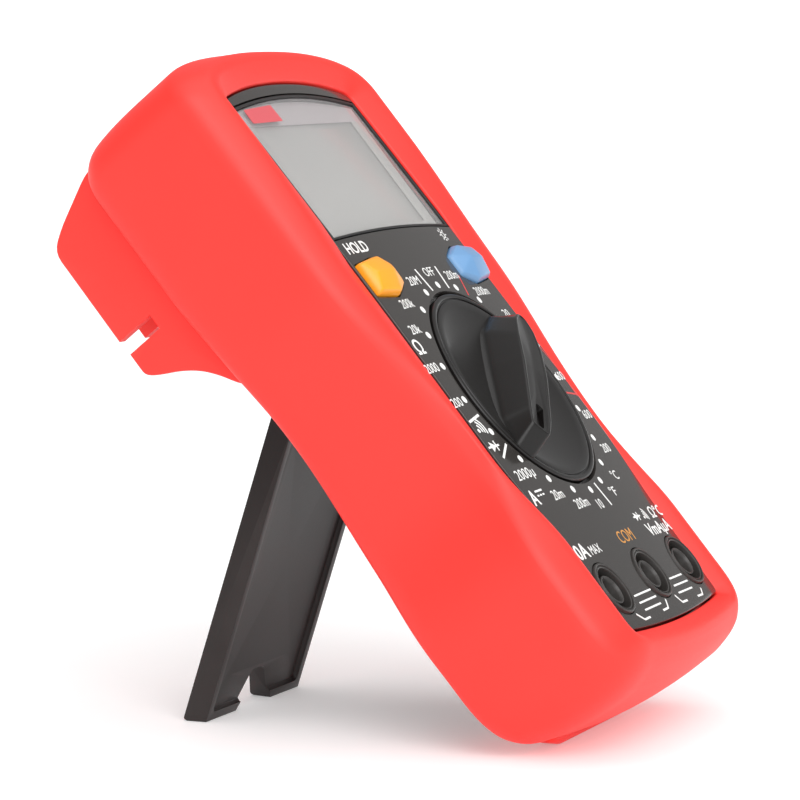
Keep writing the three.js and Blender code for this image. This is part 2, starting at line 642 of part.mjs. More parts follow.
// Half outlines of the grip along the knob: its wide foot and its narrow crowned top.
const GRIP_FOOT = [[-20.5, -2.1], [-14.5, -4.9], [0, -5.9], [11.5, -6.3], [18.9, -4.2], [20.1, -1.6]];
const GRIP_TOP = [[-17.6, -2.3], [-13.5, -2.8], [0, -3.2], [8.5, -3.2], [14.8, -2.4], [18, -0.9]];

function knobShape() {
  const { radius, rim, floor, under, top } = KNOB;
  const dish = turned([
    [0, -6.6], [SHAFT_RADIUS - 1, -6.6], [SHAFT_RADIUS, -6], [SHAFT_RADIUS, under],
    [radius - 0.3, under], [radius, under + 0.3], [radius, rim - 0.3], [radius - 0.3, rim],
    [radius - 1.3, rim], [radius - 2.6, rim - 0.4], [13, floor + 0.2], [7, floor], [0, floor],
  ], 48);
  const whole = (half) => [...half, ...half.map(([x, y]) => [x, -y]).reverse()];
  const crown = (x) => top - 0.0032 * x * x;
  const level = (half, z) => whole(half).map(([x, y]) => new THREE.Vector3(x, y, z(x)));
  const grip = skinned([
    level(GRIP_FOOT, () => floor - 0.25),
    level(GRIP_FOOT, () => floor + 0.5),
    level(GRIP_TOP, crown),
  ], middleOf(0, floor - 0.25), middleOf(0, top));
  const mark = box(-15, -9.6, -0.6, 0.6, top - 1, top + 1);
  return cut(join(dish, grip), mark);
}

add('selector_knob', 'knob_plastic', knobShape(), knob);

const ROTOR = { radius: 17.5, top: WELL.under - GAP, bottom: -5.6, bore: SHAFT_RADIUS + 0.5, ballZ: -4.7 };
function rotor() {
  const disc = turned([[ROTOR.bore, ROTOR.bottom], [ROTOR.radius, ROTOR.bottom],
    [ROTOR.radius, ROTOR.top], [ROTOR.bore, ROTOR.top]], 32, true);
  const pockets = [0, Math.PI].map((turn) => box(12.4, 19, -1.6, 1.6, -7, -2).rotateZ(turn));
  return cut(disc, ...pockets);
}

add('switch_rotor', 'white_plastic', rotor(), knob);

function coilSpring(radius, wire, length, turns) {
  const points = [];
  const steps = turns * 6;
  for (let i = 0; i <= steps; i += 1) {
    const angle = (2 * Math.PI * i) / 6;
    points.push(new THREE.Vector3((length * i) / steps, radius * Math.cos(angle), radius * Math.sin(angle)));
  }
  const section = new THREE.Shape().absarc(0, 0, wire, 0, 2 * Math.PI);
  const options = { steps, bevelEnabled: false, curveSegments: 3,
    extrudePath: new THREE.CatmullRomCurve3(points) };
  return new THREE.ExtrudeGeometry(section, options);
}

[0, 1].forEach((i) => {
  const turn = i * Math.PI;
  const ball = new THREE.SphereGeometry(0.9, 10, 6).translate(17.9, 0, ROTOR.ballZ);
  add(`detent_ball_${i + 1}`, 'steel', ball.rotateZ(turn), knob);
  const spring = coilSpring(0.7, 0.16, 3.6, 3).translate(12.9, 0, ROTOR.ballZ);
  add(`detent_spring_${i + 1}`, 'steel', spring.rotateZ(turn), knob);
});

[0, 1, 2].forEach((i) => {
  const turn = (2 * Math.PI * i) / 3 + 0.5;
  const blade = acrossPrism([[-4, -5.9], [4, -5.9], [2.4, -6.6], [0.6, -8.1], [-0.6, -8.1], [-2.4, -6.6]], 9.4, 11);
  add(`wiper_${i + 1}`, 'brass', blade.rotateZ(turn), knob);
});

function detentRing() {
  const teeth = 20;
  const shape = new THREE.Shape().absarc(0, 0, 22.3, 0, 2 * Math.PI);
  const hole = new THREE.Path();
  for (let i = 0; i < 2 * teeth; i += 1) {
    const angle = (Math.PI * i) / teeth;
    const r = i % 2 ? 20 : 20.9;
    const method = i ? 'lineTo' : 'moveTo';
    hole[method](r * Math.cos(angle), r * Math.sin(angle));
  }
  shape.holes.push(hole);
  return prism(shape, ROTOR.bottom, ROTOR.top, 20);
}

add('detent_ring', 'white_plastic', detentRing());

// ---------------------------------------------------------------- push buttons
function buttonShape(side) {
  const layer = (outlinePoints, z) => outlinePoints.map(([x, y]) => new THREE.Vector3(x, y, z));
  const flangeTop = -PANEL_THICKNESS - 2 * GAP;
  const flangeLow = flangeTop - 1.2;
  const flangeGrow = 0.7;
  const shorter = BUTTON.halfLength / (BUTTON.halfLength + flangeGrow);
  const flange = buttonOutline(flangeGrow).map(([x, y]) => [x * shorter, y]);
  const rings = [
    layer(flange, flangeLow),
    layer(flange, flangeTop),
    layer(buttonOutline(0), flangeTop),
    layer(buttonOutline(0), BUTTON.rise - 1.4),
    layer(buttonOutline(-0.9), BUTTON.rise - 0.1),
  ];
  const cap = skinned(rings, middleOf(0, flangeLow), middleOf(0, BUTTON.rise));
  const stem = rod(1.6, 0, 0, -6, flangeLow + 0.3, 12);
  return join(cap, stem).translate(side * BUTTON.x, BUTTON.y, panelZ(BUTTON.x, BUTTON.y));
}

[['hold', -1, 'yellow_button'], ['backlight', 1, 'blue_button']].forEach(([name, side, paint]) => {
  add(`${name}_button`, paint, buttonShape(side));
  const [x, y] = [side * BUTTON.x, BUTTON.y];
  const housing = box(x - 2.4, x + 2.4, y - 2.4, y + 2.4, BOARD_TOP + GAP, -7.6);
  add(`${name}_switch`, 'epoxy_black', housing);
});

// ---------------------------------------------------------------- batteries and contacts
BATTERY.y.forEach((y, i) => {
  const flip = i ? -1 : 1;
  const { radius, length, z } = BATTERY;
  const can = crossRod(radius, -length / 2, length / 2 - 1, y, z, 24);
  const button = crossRod(1.9, length / 2 - 1.2, length / 2, y, z, 12);
  const cell = join(can, button);
  if (flip < 0) cell.rotateY(Math.PI).translate(0, 0, 2 * z);
  add(`battery_${i + 1}`, 'battery_sleeve', cell);
});

const CONTACT_X = BAY.half - 0.5;
add('battery_strap', 'steel', box(-CONTACT_X - 0.2, -CONTACT_X + 0.2, -31.4, -12.6, -23.5, -16));
add('battery_terminal_positive', 'steel', box(CONTACT_X - 0.2, CONTACT_X + 0.2, -20.2, -12.6, -23.5, -16));
add('battery_terminal_negative', 'steel', box(CONTACT_X - 0.2, CONTACT_X + 0.2, -31.4, -23.8, -23.5, -16));
BATTERY.y.forEach((y, i) => {
  const [squeezed, clear] = [1, 0.4];
  const x = i ? BATTERY.length / 2 + clear : -BATTERY.length / 2 - clear - squeezed;
  add(`battery_spring_${i + 1}`, 'steel', coilSpring(2.2, 0.18, squeezed, 2).translate(x, y, BATTERY.z));
});

// ---------------------------------------------------------------- kickstand
const stand = new THREE.Group();
stand.position.set(0, HINGE.y, HINGE.z);
stand.rotation.x = STAND_OPEN;
meter.add(stand);

// Distance along the open stand from the hinge to the resting surface.
function standReach() {
  const hingeHeight = Math.cos(LEAN) * HINGE.y + Math.sin(LEAN) * HINGE.z;
  const sink = Math.cos(LEAN) * Math.cos(STAND_OPEN) + Math.sin(LEAN) * Math.sin(STAND_OPEN);
  return (hingeHeight - GROUND) / sink;
}

// Half width of the notch at a height above the foot.
function notchHalf(height) {
  return NOTCH.foot - ((NOTCH.foot - NOTCH.top) * height) / NOTCH.depth;
}

function kickstand() {
  const reach = standReach();
  const { half, wall, plate, outer, inner } = STAND;
  const foot = -reach - 2;
  const blank = box(-half, half, foot, 0, outer, inner);
  const ends = [-1, 1].map((side) => crossRod(HINGE.boss, side > 0 ? half - wall : -half,
    side > 0 ? half : -half + wall, 0, 0, 20));
  const rim = half - wall;
  const besideNotch = notchHalf(STAND.rim) + 1.2 * wall;
  const overNotch = -reach + NOTCH.depth + wall;
  const hollow = polygon([
    [-rim, 4], [-rim, -reach + STAND.rim], [-besideNotch, -reach + STAND.rim],
    [-NOTCH.top - wall, overNotch], [NOTCH.top + wall, overNotch],
    [besideNotch, -reach + STAND.rim], [rim, -reach + STAND.rim], [rim, 4],
  ]);
  const notch = polygon([
    [-notchHalf(-3), -reach - 3], [-NOTCH.top, -reach + NOTCH.depth],
    [NOTCH.top, -reach + NOTCH.depth], [notchHalf(-3), -reach - 3],
  ]);
  const topSlot = box(-rim, rim, -3.4, 4, -6, 6);
  const pins = [-1, 1].map((side) => crossRod(HINGE.pin, side > 0 ? 14.4 : -rim - 0.2,
    side > 0 ? rim + 0.2 : -14.4, 0, 0, 16));
  const ground = box(-30, 30, -14, 0, -20, 20);
  ground.rotateX(-(STAND_OPEN - LEAN)).translate(0, -reach, 0);
  const shell = cut(join(blank, ...ends), prism(hollow, plate, inner + 1), prism(notch, -6, 6), topSlot,
    ground);
  return join(shell, ...pins);
}

add('kickstand', 'black_plastic', kickstand(), stand);

// ---------------------------------------------------------------- lean and resting height
const LENGTHWISE_UP = new THREE.Vector3(0, Math.sin(LEAN), Math.cos(LEAN));
const PANEL_OUT = new THREE.Vector3(0, -Math.cos(LEAN), Math.sin(LEAN));
const leaned = new THREE.Group();
leaned.add(meter);
meter.applyMatrix4(new THREE.Matrix4().makeBasis(RIGHT, LENGTHWISE_UP, PANEL_OUT));

const part = new THREE.Group();
part.add(leaned);
part.updateMatrixWorld(true);
const bounds = new THREE.Box3().setFromObject(part, true);
const centre = bounds.getCenter(new THREE.Vector3());
leaned.position.set(0, -centre.y, -bounds.min.z);

export default part;
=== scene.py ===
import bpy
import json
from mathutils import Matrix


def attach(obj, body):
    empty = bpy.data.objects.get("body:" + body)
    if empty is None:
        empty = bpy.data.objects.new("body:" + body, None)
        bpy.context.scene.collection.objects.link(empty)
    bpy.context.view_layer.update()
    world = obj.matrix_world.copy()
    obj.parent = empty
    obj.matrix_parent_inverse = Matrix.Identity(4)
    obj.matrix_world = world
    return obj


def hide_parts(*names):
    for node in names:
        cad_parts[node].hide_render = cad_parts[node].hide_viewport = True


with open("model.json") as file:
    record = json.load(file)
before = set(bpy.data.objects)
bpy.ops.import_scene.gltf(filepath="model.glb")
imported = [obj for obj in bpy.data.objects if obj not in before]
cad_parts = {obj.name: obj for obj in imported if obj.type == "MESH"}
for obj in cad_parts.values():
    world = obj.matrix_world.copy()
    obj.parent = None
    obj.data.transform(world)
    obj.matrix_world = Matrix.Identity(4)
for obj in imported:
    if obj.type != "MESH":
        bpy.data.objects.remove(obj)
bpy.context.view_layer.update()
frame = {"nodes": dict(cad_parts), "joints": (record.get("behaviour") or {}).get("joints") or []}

# Looks of a palm-size digital multimeter in a rubber holster, leaning on its kickstand.
# Pieces are drawn in the meter's own frame, in millimetres: x to the right, y along the meter
# towards the display, z out of the panel, with the origin on the selector's axis at the panel.
import json
import math

import bmesh
import bpy
import numpy as np
from mathutils import Matrix, Vector

# ---- frame and driving dimensions
MM = 0.001
JOINTS = {joint["name"]: joint for joint in frame["joints"]}
RIGHT = Vector((1, 0, 0))
OUT = Vector(JOINTS["knob_spin"]["axis"]).normalized()
ALONG = OUT.cross(RIGHT)
METER = (Matrix.Translation(JOINTS["knob_spin"]["pos_m"])
         @ Matrix((RIGHT, ALONG, OUT)).transposed().to_4x4() @ Matrix.Scale(MM, 4))
HINGE = METER.inverted() @ Vector(JOINTS["stand_fold"]["pos_m"])
STAND_OPEN = math.radians(57.1)
STAND = METER @ Matrix.Translation(HINGE) @ Matrix.Rotation(STAND_OPEN, 4, "X")

HOLSTER = dict(head=38.5, waist=30.5, foot=35, waist_y=-10, apex=79.2, shoulder=76,
               head_round=8, bottom=-57.4, bow=1, foot_round=13)
OPENING = dict(head=27.1, waist=27.4, foot=24.9, waist_y=-10, apex=70, shoulder=67.6,
               head_round=2, bottom=-49.1, bow=1.3, foot_round=1.5)
CREST = dict(head=33.6, waist=29.3, foot=27.8, waist_y=-10, apex=75.4, shoulder=72.4,
             head_round=7, bottom=-52.2, bow=1.6, foot_round=6)
BACK_WINDOW = dict(head=25, waist=24.8, foot=24.6, waist_y=-10, apex=34, shoulder=34,
                   head_round=4, bottom=-41.5, bow=0, foot_round=4)
BACK_Z = -28.0
# Heights of the holster's back edge and front crest along the meter, as (y, z).
BACK_EDGE = [(-43, -30.0), (-14, -30.8), (20, -26.7), (45, -28.1)]
CREST_EDGE = [(-32, 1.4), (-10, -0.7), (25, 0.3), (55, 1.6)]
CREASE_Z = -4.7
LIP_UNDERSIDE = -3.2
HOLSTER_WALL = 2.7
BACK_WALL = 2.0
CASE_BACK_Z = BACK_Z + 0.2
CASE_WALL = 2.0
GAP = 0.3
SPLIT_Z = -13.0
PANEL_THICKNESS = 2.2
DOME_ACROSS = 0.0010
DOME_ALONG = 0.0002
# Levels of the case wall: z, then how far it is inset, raised at the foot and dropped at the head.
CASE_LEVELS = [(LIP_UNDERSIDE, 1.2, 0, 0), (LIP_UNDERSIDE - 1.2, 0, 0, 0), (-16, 0, 1.8, 0),
               (-22, 0, 6.5, 0), (BACK_Z + BACK_WALL, 1.5, 12, 2)]

DOT_RADIUS = 22.9
KNOB_RADIUS = 20.7
WELL_RADIUS = 21.1
WELL_FLOOR = -1.9
KNOB_TURN = math.radians(39)
BUTTON = dict(x=19.9, y=26.3)
JACK_Y = -41.0
JACK_PITCH = 18.9
JACK_RADIUS = 5.2
LENS = dict(half=25.6, bottom=36, bow=0.6, shoulder=64.4, apex=66.5)
LENS_UNDER = -2.2
LENS_SUNK = 0.35
GASKET = 0.6
LCD_MIDDLE = 49.5
LCD_HALF_X, LCD_HALF_Y, LCD_BACK, LCD_FRONT = 22, 12, -3.9, -2.6
HATCH = dict(half=22.6, top=-8.6, bottom=-40, screw_y=-36.3)


# ---- outlines and lofts
def panel_z(x, y):
    """Height of the panel's face, domed across and a little along the meter."""
    return -(DOME_ACROSS * x * x + DOME_ALONG * y * y)


def height_on(points, place):
    """Height at a place on a smooth curve through (place, height) points, level past its ends."""
    places, heights = np.array(points, float).T
    at = np.clip(place, places[0], places[-1])
    k = np.clip(np.searchsorted(places, at, side="right") - 1, 0, len(places) - 2)
    t = (at - places[k]) / (places[k + 1] - places[k])
    return heights[k] + (heights[k + 1] - heights[k]) * t * t * (3 - 2 * t)


def bezier(ends, steps):
    """Points on the Bezier curve with these control points, without its last point."""
    t = np.linspace(0, 1, steps, endpoint=False)[:, None]
    n = len(ends) - 1
    return sum(math.comb(n, k) * (1 - t) ** (n - k) * t ** k * np.array(p, float)
               for k, p in enumerate(ends))


def outline(o, fine=4):
    """Closed body outline: arched top, shoulder, head, waist, foot and bowed bottom."""
    head, waist, foot, waist_y = o["head"], o["waist"], o["foot"], o["waist_y"]
    apex, shoulder, bottom = o["apex"], o["shoulder"], o["bottom"]
    shoulder_x, shoulder_low = head - o["head_round"], shoulder - o["head_round"]
    corner_x, corner_low = foot - o["foot_round"], bottom + o["foot_round"]
    head_low = min(30, shoulder_low - 4)
    foot_high = max(-34, corner_low + 4)
    lowest = bottom - o["bow"]
    right = np.concatenate([
        bezier([(0, apex), (0.55 * head, apex), (shoulder_x, shoulder)], 4 * fine),
        bezier([(shoulder_x, shoulder), (head, shoulder - 0.3 * o["head_round"]),
                (head, shoulder_low)], 3 * fine),
        bezier([(head, shoulder_low), (head, head_low)], 2 * fine),
        bezier([(head, head_low), (head, head_low - 14), (waist, waist_y + 16), (waist, waist_y)],
               5 * fine),
        bezier([(waist, waist_y), (waist, waist_y - 9), (foot, foot_high + 9), (foot, foot_high)],
               4 * fine),
        bezier([(foot, foot_high), (foot, corner_low)], fine),
        bezier([(foot, corner_low), (foot, bottom), (corner_x, bottom)], 3 * fine),
        bezier([(corner_x, bottom), (0.5 * corner_x, lowest), (0, lowest)], 3 * fine),
        [(0, lowest)],
    ])
    left = right[1:-1][::-1] * [-1, 1]
    return np.concatenate([right, left])


def inset(o, by, rise=0.0, drop=0.0):
    """The outline drawn in on every side, with its foot raised and its head dropped further."""
    smaller = dict(o)
    for side in ("head", "waist", "foot"):
        smaller[side] = o[side] - by
    for top in ("apex", "shoulder"):
        smaller[top] = o[top] - by - drop
    smaller["bottom"] = o["bottom"] + by + rise
    for corner in ("head_round", "foot_round"):
        smaller[corner] = max(o[corner] - by, 1)
    return smaller


def ring(points, z):
    """Gives an outline of x, y points its height, a number or a function of x and y."""
    heights = z(points[:, 0], points[:, 1]) if callable(z) else np.full(len(points), float(z))
    return np.column_stack([points, heights])


def scaled(points, scale, middle_y=0.0):
    """Shrinks an outline about a point on the meter's centre line."""
    return (points - [0, middle_y]) * scale + [0, middle_y]


def mirrored(half):
    """Completes an outline that is alike on both sides of the x axis."""
    return half + [(x, -y) for x, y in reversed(half)]


def case_outline(level, wall):
    """The holster's outline drawn in by a wall, at one of the case's levels."""
    z, by, rise, drop = level
    return outline(inset(HOLSTER, wall + by, rise, drop))


def case_level_at(z):
    """The level between two of CASE_LEVELS that belongs to a height."""
    below = next(i for i, level in enumerate(CASE_LEVELS) if level[0] <= z)
    a, b = CASE_LEVELS[below - 1], CASE_LEVELS[below]
    t = (a[0] - z) / (a[0] - b[0])
    return tuple(p + t * (q - p) for p, q in zip(a, b))


def rounded(rings, radii, steps=5, closed=False):
    """Rounds the corner that each ring makes in the section of the loft."""
    smooth = []
    last = len(rings) - 1
    for k, here in enumerate(rings):
        radius = radii[k]
        end_ring = not closed and k in (0, last)
        if end_ring or np.max(radius) == 0:
            smooth.append(here)
            continue
        before = rings[k - 1] - here
        after = rings[(k + 1) % len(rings)] - here
        reach_before = np.minimum(radius / np.linalg.norm(before, axis=1), 0.48)[:, None]
        reach_after = np.minimum(radius / np.linalg.norm(after, axis=1), 0.48)[:, None]
        start = here + before * reach_before
        end = here + after * reach_after
        for t in np.linspace(0, 1, steps):
            smooth.append((1 - t) ** 2 * start + 2 * t * (1 - t) * here + t * t * end)
    return smooth


def skin(rings, closed=False, fans=False):
    """A solid from a stack of equal rings; a closed stack runs round and has no ends."""
    count = len(rings[0])
    points = [tuple(p) for r in rings for p in r]
    faces = []
    levels = len(rings) if closed else len(rings) - 1
    for level in range(levels):
        a, b = level * count, ((level + 1) % len(rings)) * count
        for i in range(count):
            j = (i + 1) % count
            faces.append((a + i, a + j, b + j, b + i))
    if not closed:
        top = (len(rings) - 1) * count
        if fans:
            points += [tuple(rings[0].mean(axis=0)), tuple(rings[-1].mean(axis=0))]
            for i in range(count):
                j = (i + 1) % count
                faces.append((len(points) - 2, j, i))
                faces.append((len(points) - 1, top + i, top + j))
        else:
            faces.append(tuple(reversed(range(count))))
            faces.append(tuple(top + i for i in range(count)))
    return solid(points, faces)


def solid(points, faces):
    """A linked object from points and faces, with its faces turned outwards."""
    mesh = bpy.data.meshes.new("solid")
    mesh.from_pydata(points, [], faces)
    shape = bmesh.new()
    shape.from_mesh(mesh)
    bmesh.ops.recalc_face_normals(shape, faces=shape.faces)
    shape.to_mesh(mesh)
    shape.free()
    return linked("solid", mesh)


def linked(name, data):
    obj = bpy.data.objects.new(name, data)
    bpy.context.scene.collection.objects.link(obj)
    return obj


def turned(profile, sides=96, closed=False):
    """A solid of revolution about z from (radius, z) points."""
    angles = np.linspace(0, 2 * math.pi, sides, endpoint=False)
    rings = [np.column_stack([r * np.cos(angles), r * np.sin(angles), np.full(sides, z)])
             for r, z in profile]
    return skin(rings, closed=closed)


def cylinder(radius, z0, z1, sides=96):
    return turned([(radius, z0), (radius, z1)], sides)


def prism(points, z0, z1):
    """A flat outline drawn up from one height to another."""
    points = np.array(points, float)
    return skin([ring(points, z0), ring(points, z1)])


def box(x0, x1, y0, y1, z0, z1):
    return prism([(x0, y0), (x1, y0), (x1, y1), (x0, y1)], z0, z1)


def moved(obj, matrix):
    """Moves an object's points; a mirroring matrix also turns its faces back outwards."""
    obj.data.transform(matrix)
    if matrix.determinant() < 0:
        obj.data.flip_normals()
    return obj


def shifted(obj, x=0.0, y=0.0, z=0.0):
    return moved(obj, Matrix.Translation((x, y, z)))


def hull(points):
    """The smallest convex solid round some points, with its flat facets as single faces."""
    shape = bmesh.new()
    for point in points:
        shape.verts.new(point)
    bmesh.ops.convex_hull(shape, input=shape.verts)
    bmesh.ops.dissolve_limit(shape, angle_limit=0.01, verts=shape.verts, edges=shape.edges)
    mesh = bpy.data.meshes.new("hull")
    shape.to_mesh(mesh)
    shape.free()
    return linked("hull", mesh)


def bevelled(obj, width, segments=3, angle=30):
    modifier = obj.modifiers.new("bevel", "BEVEL")
    modifier.width = width
    modifier.segments = segments
    modifier.limit_method = "ANGLE"
    modifier.angle_limit = math.radians(angle)
    return baked(obj)


def baked(obj):
    """Turns an object's modifiers into plain mesh."""
    graph = bpy.context.evaluated_depsgraph_get()
    mesh = bpy.data.meshes.new_from_object(obj.evaluated_get(graph))
    old = obj.data
    obj.modifiers.clear()
    obj.data = mesh
    bpy.data.meshes.remove(old)
    return obj


def combined(target, tools, operation):
    """Joins the tools to the target, cuts them from it or keeps what they share."""
    for tool in tools:
        modifier = target.modifiers.new(operation, "BOOLEAN")
        modifier.operation = operation
        modifier.solver = "EXACT"
        modifier.object = tool
    baked(target)
    for tool in tools:
        bpy.data.objects.remove(tool)
    return target


def joined(target, *tools):
    return combined(target, tools, "UNION")


def cut(target, *tools):
    return combined(target, tools, "DIFFERENCE")


def across(points, x0, x1):
    """Extrudes a (y, z) outline across the meter from x0 to x1."""
    low = np.array([(x0, y, z) for y, z in points], float)
    high = np.array([(x1, y, z) for y, z in points], float)
    return skin([low, high])


def softened(points, radius, steps=5):
    """Rounds every corner of a closed flat outline."""
    corners = [np.array([point], float) for point in points]
    return np.concatenate(rounded(corners, [radius] * len(corners), steps, closed=True))


# ---- finishes
def srgb(red, green, blue):
    """A screen colour, 0 to 255, as the linear colour that a shader takes."""
    def linear(v):
        v /= 255
        return v / 12.92 if v <= 0.04045 else ((v + 0.055) / 1.055) ** 2.4
    return (linear(red), linear(green), linear(blue), 1.0)


def add_node(material, kind, inputs):
    """A shader node whose inputs are set to values or linked to other nodes' outputs."""
    made = material.node_tree.nodes.new("ShaderNode" + kind)
    for socket, value in inputs.items():
        if isinstance(value, bpy.types.NodeSocket):
            material.node_tree.links.new(value, made.inputs[socket])
        else:
            made.inputs[socket].default_value = value
    return made


FINISHES = {}


def finish(name, colour, roughness, grain=0.4, bump=0.02, spread=0.06, edge_highlight=0.0, metallic=0.0,
           highlight_colour=None, patchy=0.06, **sockets):
    """A moulded or machined surface: grain size in millimetres, bump depth in millimetres,
    colour spread as a share, the edge highlight as a lighter tone painted on the sharp edges,
    patchy as the change in roughness from spot to spot."""
    material = bpy.data.materials.new(name)
    material.use_nodes = True
    FINISHES[name] = material
    links = material.node_tree.links
    shader = material.node_tree.nodes["Principled BSDF"]
    shader.inputs["Metallic"].default_value = metallic
    for socket, value in sockets.items():
        shader.inputs[socket.replace("_", " ")].default_value = value
    place = add_node(material, "TexCoord", {}).outputs["Object"]
    cloud = add_node(material, "TexNoise", {"Scale": 60, "Detail": 4, "Vector": place})
    fine = add_node(material, "TexNoise", {"Scale": 1 / (grain * MM), "Detail": 3, "Vector": place})
    tone = add_node(material, "ValToRGB", {"Fac": cloud.outputs["Fac"]})
    dark_end, light_end = tone.color_ramp.elements
    dark_end.position, light_end.position = 0.3, 0.7
    dark_end.color = tuple(c * (1 - spread) for c in colour[:3]) + (1,)
    light_end.color = tuple(min(1, c * (1 + spread)) for c in colour[:3]) + (1,)
    shade = tone.outputs["Color"]
    # Painted highlight: a paler tone on the sharp edges, found by pointiness and made patchy by the
    # cloud noise.
    if edge_highlight:
        edges = add_node(material, "NewGeometry", {}).outputs["Pointiness"]
        band = add_node(material, "MapRange",
                        {"From Min": 0.52, "From Max": 0.6, "To Max": edge_highlight, "Value": edges})
        mask = add_node(material, "Math", {0: band.outputs["Result"], 1: cloud.outputs["Fac"]})
        mask.operation = "MULTIPLY"
        paler = tuple(min(1, 3 * c + 0.05) for c in colour[:3]) + (1,)
        mix = add_node(material, "MixRGB", {"Fac": mask.outputs["Value"], "Color1": shade,
                                            "Color2": highlight_colour or paler})
        shade = mix.outputs["Color"]
    links.new(shade, shader.inputs["Base Color"])
    gloss = add_node(material, "MapRange", {"Value": fine.outputs["Fac"],
                                            "To Min": max(roughness - patchy, 0.02),
                                            "To Max": roughness + patchy})
    links.new(gloss.outputs["Result"], shader.inputs["Roughness"])
    relief = add_node(material, "Bump", {"Distance": bump * MM, "Strength": 0.6,
                                         "Height": fine.outputs["Fac"]})
    links.new(relief.outputs["Normal"], shader.inputs["Normal"])
    return material


def painted_light_display_finish():
    """Resting display glass: grey, darker at the upper left as painted shade and paler at the lower
    right as painted light.
    """
    material = finish("lcd_glass", srgb(150, 150, 145), 0.2, grain=0.6, bump=0.0004, spread=0.02,
                      patchy=0.02)
    direction = ALONG - 0.5 * RIGHT
    lit_end = METER @ Vector((20, LCD_MIDDLE - 11, 0))
    dark_end = METER @ Vector((-20, LCD_MIDDLE + 11, 0))
    place = add_node(material, "TexCoord", {}).outputs["Object"]
    slant = add_node(material, "VectorMath", {0: place, 1: direction})
    slant.operation = "DOT_PRODUCT"
    ramp = add_node(material, "MapRange", {"Value": slant.outputs["Value"],
                                           "From Min": lit_end.dot(direction),
                                           "From Max": dark_end.dot(direction)})
    tone = add_node(material, "ValToRGB", {"Fac": ramp.outputs["Result"]})
    # Painted light at the lower right end of the ramp, painted shade at the upper left end.
    tone.color_ramp.elements[0].color = srgb(212, 212, 207)
    tone.color_ramp.elements[1].color = srgb(178, 178, 174)
    shader = material.node_tree.nodes["Principled BSDF"]
    material.node_tree.links.new(tone.outputs["Color"], shader.inputs["Base Color"])


# The paler edge tones given to the finishes below are painted highlights.
finish("red_rubber", (0.95, 0.028, 0.019, 1), 0.5, grain=0.35, bump=0.012, spread=0.03, edge_highlight=0.25,
       highlight_colour=(1.0, 0.14, 0.11, 1))
finish("black_panel", srgb(52, 49, 47), 0.12, grain=0.5, bump=0.0004, spread=0.03, patchy=0.015)
finish("black_plastic", srgb(44, 41, 39), 0.42, grain=0.3, bump=0.015, edge_highlight=0.3)
finish("stand_plastic", srgb(34, 28, 27), 0.4, grain=0.35, bump=0.006, edge_highlight=0.3, patchy=0.03,
       Specular_IOR_Level=0.22)
finish("knob_plastic", srgb(19, 17, 16), 0.3, grain=0.3, bump=0.003, edge_highlight=0.2, patchy=0.03,
       Specular_IOR_Level=0.35)
finish("yellow_plastic", srgb(250, 160, 28), 0.34, grain=0.4, bump=0.006, spread=0.04)
finish("blue_plastic", srgb(104, 148, 192), 0.34, grain=0.4, bump=0.006, spread=0.04)
finish("grey_rubber", srgb(30, 30, 30), 0.55, grain=0.3, bump=0.01)
finish("white_plastic", srgb(228, 227, 220), 0.45, grain=0.4, bump=0.01)
finish("board_green", srgb(24, 92, 56), 0.35, grain=0.8, bump=0.02, spread=0.12)
finish("brass", srgb(206, 168, 92), 0.28, grain=0.2, bump=0.006, metallic=1.0)
finish("steel", srgb(196, 198, 200), 0.3, grain=0.15, bump=0.005, metallic=1.0)
finish("copper", srgb(200, 120, 74), 0.3, grain=0.2, bump=0.005, metallic=1.0)
finish("black_epoxy", srgb(24, 24, 24), 0.3, grain=0.5, bump=0.02)
finish("fuse_glass", srgb(225, 232, 232), 0.08, grain=1.0, bump=0.002, Transmission_Weight=0.7, IOR=1.5)
finish("battery_sleeve", srgb(60, 118, 84), 0.3, grain=0.4, bump=0.004)
finish("clear_window", srgb(190, 188, 188), 0.04, grain=2.0, bump=0.0002, spread=0.01, patchy=0.01,
       Alpha=0.3, IOR=2.4)
painted_light_display_finish()
INKS = {"white_print": (236, 236, 234), "orange_print": (206, 142, 66), "red_print": (206, 60, 62)}
for ink, screen_colour in INKS.items():
    finish(ink, srgb(*screen_colour), 0.5, grain=0.2, bump=0.002, spread=0.03)
finish("tag_print", srgb(205, 85, 92), 0.4, grain=0.2, bump=0.002, spread=0.03)
finish("grey_print", srgb(196, 186, 188), 0.5, grain=0.4, bump=0.002, spread=0.03)


def piece(obj, name, body, slot, *replaced, look=None, place=METER, sharp=32):
    """Names a shape, puts it in the row frame, ties it to its body and finishes it as its slot."""
    obj.name = name
    obj.data.name = name
    moved(obj, place)
    obj.data.materials.clear()
    obj.data.materials.append(FINISHES[look or slot])
    obj.data.shade_smooth()
    obj.data.set_sharp_from_angle(angle=math.radians(sharp))
    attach(obj, body)
    if replaced:
        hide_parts(*replaced)


# ---- holster
def crest_z(x, y):
    """The holster's front crest dips at the waist and rises to the head and, faster, to the foot."""
    return height_on(CREST_EDGE, y)


def back_z(x, y):
    """The holster's back is deepest at the waist and slimmest a little above it."""
    return height_on(BACK_EDGE, y)


LIP_DROP, LIP_PROUD = 0.25, 0.65
LIP_RISE = dict(start=31, length=6)


def lip_z(x, y):
    """The lip's inner edge lies just under the panel, but stands a little proud round the window."""
    share = np.clip((y - LIP_RISE["start"]) / LIP_RISE["length"], 0, 1)
    return panel_z(x, y) - LIP_DROP + LIP_PROUD * share


